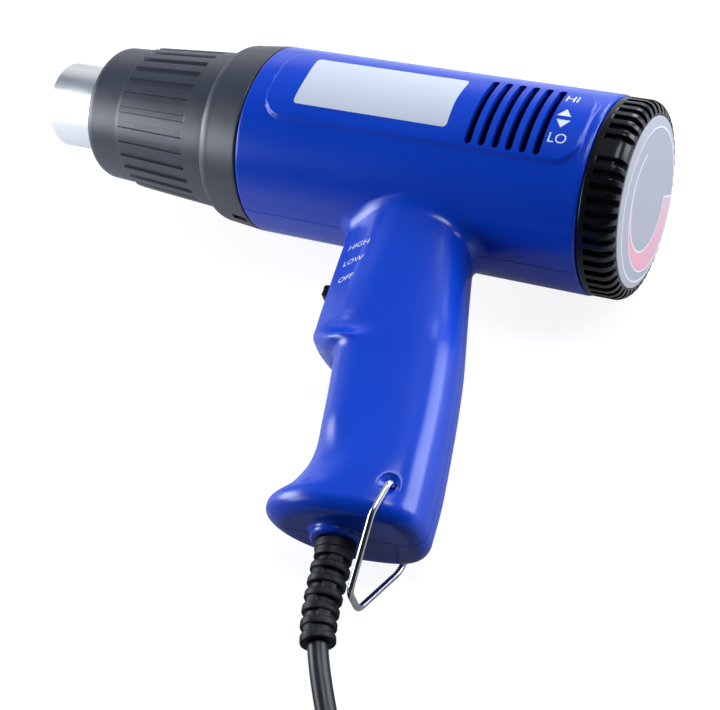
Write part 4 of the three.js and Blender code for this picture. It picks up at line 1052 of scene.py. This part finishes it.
def relief_rings(sides=96):
    """Rings on a core; each gap is bridged on two sides, turned from one gap to the next."""
    angle = around(sides)
    rows = [(CORE_START, 0.4), (CORE_START, CORE_R)]
    for i in range(RINGS):
        end = RINGS_START + (i + 1) * RING_PITCH
        start = end - RING_WIDTH
        crest = CREST_R - CREST_TAPER * i / RINGS
        middle = math.radians(BRIDGE_TURN[i % 2])
        away = np.abs((angle - middle + math.pi / 2) % math.pi - math.pi / 2)
        root = CORE_R + (crest - BRIDGE_DROP - CORE_R) * (1 - smooth_step(away, *BRIDGE_EDGE))
        for step, share in ((-1.9, 0), (-0.15, 0), (0, 0.55), (0.15, 0.86), (0.5, 1)):
            rows.append((start + step, root + (crest - root) * share))
        for step, share in ((-0.5, 1), (-0.15, 0.86), (0, 0.55)):
            rows.append((end + step, CORE_R + (crest - CORE_R) * share))
    rows += [(RELIEF_END, 4.6), (RELIEF_END, 3.2)]
    radii = np.array([np.broadcast_to(radius, sides) for _, radius in rows])
    return spun(np.array([down for down, _ in rows]), radii, angle)


def relief_piece():
    collar = revolve(rounded(RELIEF_COLLAR, [0] + [0.35] * 8 + [0], 4), 48)
    verts, faces = merged(collar, relief_rings())
    return relief_bend(verts[:, [0, 2, 1]]), faces


piece("relief_sleeve", *relief_piece(), RUBBER, "tool", "cord_rubber", ("strain_relief",), crease=35)


# Label, lettering and arrows on the panel and handle

PANEL_R = BARREL_R + PANEL_RISE
LABEL_X, LABEL_TURN, LABEL_CORNER = (-26, 37), (-16.7, 19.4), 1.6
LABEL_LIFT, PRINT_LIFT, HANDLE_LIFT = 0.07, 0.06, 0.1
PANEL_TYPE, HANDLE_TYPE = 5.5, 3.3
ARROW_HALF, ARROW_RISE = 2.6, 1.75


def on_panel(x, up, lift):
    """Wraps flat places, along the barrel and up from its middle, onto the panel."""
    psi = up / PANEL_R
    r = PANEL_R + lift
    return np.stack([x, r * np.sin(psi), r * np.cos(psi)], -1)


def panel_height(degrees):
    return math.radians(degrees) * PANEL_R


def label_piece(rows=25):
    """Rings that shrink from the label's outline to its middle line."""
    (left, right), (low, high) = LABEL_X, map(panel_height, LABEL_TURN)
    outline = rounded([(left, low), (right, low), (right, high), (left, high)], LABEL_CORNER, 6)
    middle = np.c_[outline[:, 0] * 0.98 + 0.11, np.full(len(outline), (low + high) / 2)]
    share = np.linspace(0, 1, rows)[:, None, None]
    spots = (outline * (1 - share) + middle * share).reshape(-1, 2)
    return on_panel(*spots.T, LABEL_LIFT), [grid_faces(rows, len(outline))]


piece("rating_label_bare", *label_piece(), LABEL, "tool", "face", crease=60)


def words(text, size):
    """A word's flat outline, about its middle, and its faces."""
    curve = bpy.data.curves.new("words", "FONT")
    curve.body = text
    curve.size = size
    curve.align_x = "CENTER"
    curve.align_y = "CENTER"
    curve.resolution_u = 4
    obj = linked("words", curve)
    graph = bpy.context.evaluated_depsgraph_get()
    mesh = bpy.data.meshes.new_from_object(obj.evaluated_get(graph))
    bpy.data.objects.remove(obj)
    bpy.data.curves.remove(curve)
    verts = read(mesh.vertices, "co", 3)
    faces = [np.array([list(p.vertices)]) for p in mesh.polygons]
    bpy.data.meshes.remove(mesh)
    return verts[:, 0], verts[:, 1], faces


def panel_print(name, x, up, faces):
    piece(name, on_panel(x, up, PRINT_LIFT), faces, PRINT, "tool", "face", crease=None)


def panel_words(name, text, x, turn):
    flat_x, flat_y, faces = words(text, PANEL_TYPE)
    panel_print(name, x + flat_x, panel_height(turn) + flat_y, faces)


def panel_arrow(name, x, turn, rise):
    flat = np.array([(-ARROW_HALF, -rise), (ARROW_HALF, -rise), (0, rise)])
    flat = flat if rise > 0 else flat[::-1]
    panel_print(name, x + flat[:, 0], panel_height(turn) + flat[:, 1], [np.array([[0, 1, 2]])])


panel_words("mark_hi", "HI", 77.6, 16.2)
panel_words("mark_lo", "LO", 78.7, -13.1)
panel_arrow("mark_up", 77.9, 4.4, ARROW_RISE)
panel_arrow("mark_down", 78.4, -3.6, -ARROW_RISE)


def skin_side(x, y):
    """How far out the skin is on the left, over places in the side view."""
    low, high = np.zeros(len(x)), np.full(len(x), 60.0)
    for _ in range(40):
        middle = (low + high) / 2
        inside = body_field(np.stack([x, y, middle], -1)) < 0
        low, high = np.where(inside, middle, low), np.where(inside, high, middle)
    return low


def handle_words(name, text, start, end, y):
    """A word on the handle's side, stretched between two places along the barrel."""
    flat_x, flat_y, faces = words(text, HANDLE_TYPE)
    x = (start + end) / 2 + flat_x * (end - start) / (flat_x.max() - flat_x.min())
    y = y + flat_y
    verts = np.stack([x, y, skin_side(x, y) + HANDLE_LIFT], -1)
    piece(name, verts, faces, PRINT, "tool", "face", crease=None)


handle_words("mark_off", "OFF", 11.3, 18.9, -66.4)
handle_words("mark_low", "LOW", 9.8, 19.6, -58.7)
handle_words("mark_high", "HIGH", 8.8, 18.9, -51.3)


# Screws with a cross recess, seen down the wells of the right half

SCREW_PROFILE = [
    (-2.2, 0.02), (-2.15, 1.0), (-1.9, 1.9), (-1.45, 2.55), (-0.9, 2.9), (0, 2.9), (0, 1.5),
    (17.3, 1.5), (17.3, 0.02),
]
RECESS_LONG, RECESS_WIDE, RECESS_FLOOR = 1.75, 0.4, -1.0


def screw_piece(name, node, x, y):
    spin, faces = revolve(SCREW_PROFILE, 48)
    verts = np.stack([x + spin[:, 1], y + spin[:, 2], SCREW_SEAT + spin[:, 0]], -1)
    screw = loose(name, verts, faces)
    for wide, tall in ((RECESS_LONG, RECESS_WIDE), (RECESS_WIDE, RECESS_LONG)):
        bar = [(x - wide, y - tall), (x + wide, y - tall), (x + wide, y + tall), (x - wide, y + tall)]
        cutter = loose("cutter", *prism(bar, SCREW_SEAT - 4, SCREW_SEAT + RECESS_FLOOR))
        combine(screw, cutter, "DIFFERENCE")
        discard(cutter)
    dress(screw, ZINC, "tool", "screw", (node,), 30)


for i, (x, y) in enumerate(SCREWS):
    screw_piece(f"shell_screw_{i + 1}", f"housing_screw_{i + 1}", x, y)


# Plug: a soft-edged moulding with a ribbed neck, from the cord towards the blades

PLUG_REAR, PLUG_Y, PLUG_Z = 84.7, -279.917, 13.3
PLUG_BODY = [
    (12.8, 6.2, 6.2), (13.6, 6.5, 6.6), (15.0, 8.0, 8.4), (16.4, 9.8, 10.3), (17.8, 11.3, 11.8),
    (19.2, 12.2, 12.7), (20.8, 12.5, 13.0), (40.5, 12.5, 13.0),
]
PLUG_EDGE, PLUG_SQUARENESS = 1.5, 0.55
NECK_RIBS, NECK_PITCH, NECK_R, NECK_GROWTH, NECK_GAP = 4, 3.0, 5.4, 0.2, 0.6


def plug_piece(sides=64):
    """Soft square rings, each from its place along, half width and half height."""
    rings = [(0, 5.2, 5.2), (0.3, NECK_R, NECK_R)]
    for i in range(NECK_RIBS):
        start, crest = 1.2 + NECK_PITCH * i, NECK_R + NECK_GROWTH * i
        root = crest - NECK_GAP
        rings += [(start + d, r, r) for d, r in ((0, crest), (0.2, root), (1.2, root), (1.4, crest))]
    rings += PLUG_BODY
    front, wide, tall = PLUG_BODY[-1]
    for a in np.linspace(0.2, math.pi / 2, 7):
        inset = PLUG_EDGE * (1 - math.cos(a))
        rings.append((front + PLUG_EDGE * math.sin(a), wide - inset, tall - inset))
    along, wide, tall = np.array(rings).T[:, :, None]
    angle = around(sides)
    bulge = lambda value: np.sign(value) * np.abs(value) ** PLUG_SQUARENESS
    verts = np.stack(np.broadcast_arrays(
        PLUG_REAR - along, PLUG_Y + wide * bulge(np.cos(angle)), PLUG_Z - tall * bulge(np.sin(angle)),
    ), -1)
    return verts.reshape(-1, 3), capped(len(rings), sides)


plug = piece(
    "plug_moulding", *plug_piece(), RUBBER, "tool", "cord_rubber", ("plug_body",), 40,
    placed=lambda points: np.asarray(points) * MM,
)


# CAD nodes that keep their own shape

for node, material in {
    "heater_liner": MICA, "heater_former": MICA, "heating_coil": NICHROME,
    "thermal_fuse": ZINC, "heater_base": MICA, "fan_impeller": FAN, "motor_shaft": STEEL, "motor": ZINC,
    "motor_mount": BLACK, "potentiometer": ZINC, "control_board": BOARD, "pot_shaft": STEEL,
    "switch_body": BLACK, "cord_tail": SHEATH, "cord_clamp": BLACK,
    "clamp_screw_1": ZINC, "clamp_screw_2": ZINC, "cord_tie": TIE,
    "plug_blade_1": BRASS, "plug_blade_2": BRASS, "plug_ground_pin": BRASS,
}.items():
    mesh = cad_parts[node].data
    mesh.materials.clear()
    mesh.materials.append(material)


# Floor, world and light, in metres

def feed(tree, value, socket):
    """Links a node's output to a socket, or sets a number there."""
    if isinstance(value, float):
        socket.default_value = value
    else:
        tree.links.new(value, socket)


def operate(tree, operation, total, *values):
    """Values multiplied, or the largest of them."""
    for value in values:
        node = tree.nodes.new("ShaderNodeMath")
        node.operation = operation
        feed(tree, total, node.inputs[0])
        feed(tree, value, node.inputs[1])
        total = node.outputs["Value"]
    return total


def ramp(tree, value, start, end, low, high):
    """A smooth change from low to high as a value goes from start to end."""
    node = tree.nodes.new("ShaderNodeMapRange")
    node.interpolation_type = "SMOOTHSTEP"
    for socket, level in (("From Min", start), ("From Max", end), ("To Min", low), ("To Max", high)):
        node.inputs[socket].default_value = level
    feed(tree, value, node.inputs["Value"])
    return node.outputs["Result"]


def axes(tree, kind, output):
    """The X, Y and Z of a node's place or direction."""
    split = tree.nodes.new("ShaderNodeSeparateXYZ")
    feed(tree, tree.nodes.new(kind).outputs[output], split.inputs["Vector"])
    return [split.outputs[axis] for axis in "XYZ"]


def mixed(tree, share, one, two):
    node = tree.nodes.new("ShaderNodeMixShader")
    feed(tree, share, node.inputs["Fac"])
    feed(tree, one, node.inputs[1])
    feed(tree, two, node.inputs[2])
    return node.outputs["Shader"]


def background_share(tree, mirrored):
    """How much of the white background a ray sees: all of it, or for a reflection what is mirrored."""
    rays = tree.nodes.new("ShaderNodeLightPath").outputs
    shine = operate(tree, "MULTIPLY", rays["Is Glossy Ray"], mirrored)
    return operate(tree, "MAXIMUM", shine, rays["Is Camera Ray"], rays["Is Transmission Ray"])


FLOOR_HALF, FLOOR_DROP = 3.0, 0.0004
FLOOR_WHITE, FLOOR_GLOW, GLOW_SHARE = 0.8, 1.3, 0.68
FLOOR_MIRRORED = 0.15
SKY = (0.78, 0.88, 1.0, 1)
LAMP_TINT = (0.86, 0.92, 1.0)


def floor_paper():
    """White to the camera; to the object's undersides a floor with painted shade, darker in front and in a
    band across the middle.
    """
    material = bpy.data.materials.new("floor_paper")
    material.use_nodes = True
    tree = material.node_tree
    paper = tree.nodes["Principled BSDF"]
    paper.inputs["Roughness"].default_value = 0.9
    x, y, _ = axes(tree, "ShaderNodeNewGeometry", "Position")
    # Painted shade in the paper's colour: darker towards the front and in a band across the middle, standing
    # in for the tool's shadow and the shade in front of it
    depth = ramp(tree, y, -0.13, -0.02, 0.12, 0.8)
    left, right = ramp(tree, x, 0.01, 0.07, 1.0, 0.35), ramp(tree, x, 0.1, 0.17, 0.35, 1.0)
    painted_floor_shade = operate(tree, "MULTIPLY", depth, operate(tree, "MAXIMUM", left, right))
    feed(tree, painted_floor_shade, paper.inputs["Base Color"])
    sheet = tree.nodes.new("ShaderNodeBsdfDiffuse")
    sheet.inputs["Color"].default_value = (FLOOR_WHITE, FLOOR_WHITE, FLOOR_WHITE, 1)
    glow = tree.nodes.new("ShaderNodeEmission")
    glow.inputs["Strength"].default_value = FLOOR_GLOW
    white = mixed(tree, GLOW_SHARE, sheet.outputs["BSDF"], glow.outputs["Emission"])
    surface = mixed(tree, background_share(tree, FLOOR_MIRRORED), paper.outputs["BSDF"], white)
    feed(tree, surface, tree.nodes["Material Output"].inputs["Surface"])
    return material


def studio():
    """White to the camera; to the object a dim room with a bright low backdrop behind it."""
    world = bpy.data.worlds.new("studio")
    world.use_nodes = True
    tree = world.node_tree
    dim = tree.nodes["Background"]
    dim.inputs["Color"].default_value = SKY
    x, y, z = axes(tree, "ShaderNodeTexCoord", "Generated")
    room = operate(
        tree, "MULTIPLY", ramp(tree, x, -1.0, 1.0, 0.46, 0.34), ramp(tree, y, -0.4, 0.35, 0.08, 1.0),
        ramp(tree, z, 0.4, 0.85, 1.0, 0.5),
    )
    backdrop = operate(
        tree, "MULTIPLY", ramp(tree, y, 0.3, 0.6, 0.0, 1.0), ramp(tree, z, 0.4, 0.62, 1.0, 0.0),
        ramp(tree, x, -0.55, 0.3, 1.0, 0.4),
    )
    feed(tree, operate(tree, "MAXIMUM", room, backdrop), dim.inputs["Strength"])
    bright = tree.nodes.new("ShaderNodeBackground")
    bright.inputs["Color"].default_value = (1, 1, 1, 1)
    share = background_share(tree, operate(tree, "MULTIPLY", backdrop, backdrop))
    surface = mixed(tree, share, dim.outputs["Background"], bright.outputs["Background"])
    feed(tree, surface, tree.nodes["World Output"].inputs["Surface"])
    return world


def softbox(name, place, aim, size, power):
    data = bpy.data.lights.new(name, "AREA")
    data.shape = "RECTANGLE"
    data.size, data.size_y = size
    data.energy = power
    data.color = LAMP_TINT
    place, aim = np.array(place, float), np.array(aim, float)
    back = (place - aim) / np.linalg.norm(place - aim)
    across = np.cross((0, 0, 1), back)
    across /= np.linalg.norm(across)
    linked(name, data).matrix_world = facing(across, np.cross(back, across), back, place)


floor_mesh = bpy.data.meshes.new("floor")
floor_corners = FLOOR_HALF * np.array([[-1, -1, 0], [1, -1, 0], [1, 1, 0], [-1, 1, 0]])
fill(floor_mesh, floor_corners, [np.array([[0, 1, 2, 3]])])
floor_mesh.materials.append(floor_paper())
floor = linked("floor", floor_mesh)
floor.location.z = -FLOOR_DROP
bpy.context.scene.world = studio()
softbox("left", (-0.52, -0.10, 0.19), (0.04, 0, 0.04), (0.30, 0.26), 2.5)
softbox("left_front", (-0.56, -0.38, 0.24), (-0.02, 0.06, 0.05), (0.26, 0.26), 1.2)
softbox("right_back", (0.80, 0.52, 0.38), (0.09, -0.03, 0.04), (0.5, 0.7), 7.4)
softbox("top_back", (0.15, 0.88, 0.54), (0.05, 0.03, 0.04), (0.42, 0.42), 4.6)
softbox("overhead", (0.22, 0.14, 1.01), (0.02, 0.02, 0.04), (0.36, 0.36), 3.5)
bpy.context.scene.view_settings.view_transform = "Standard"
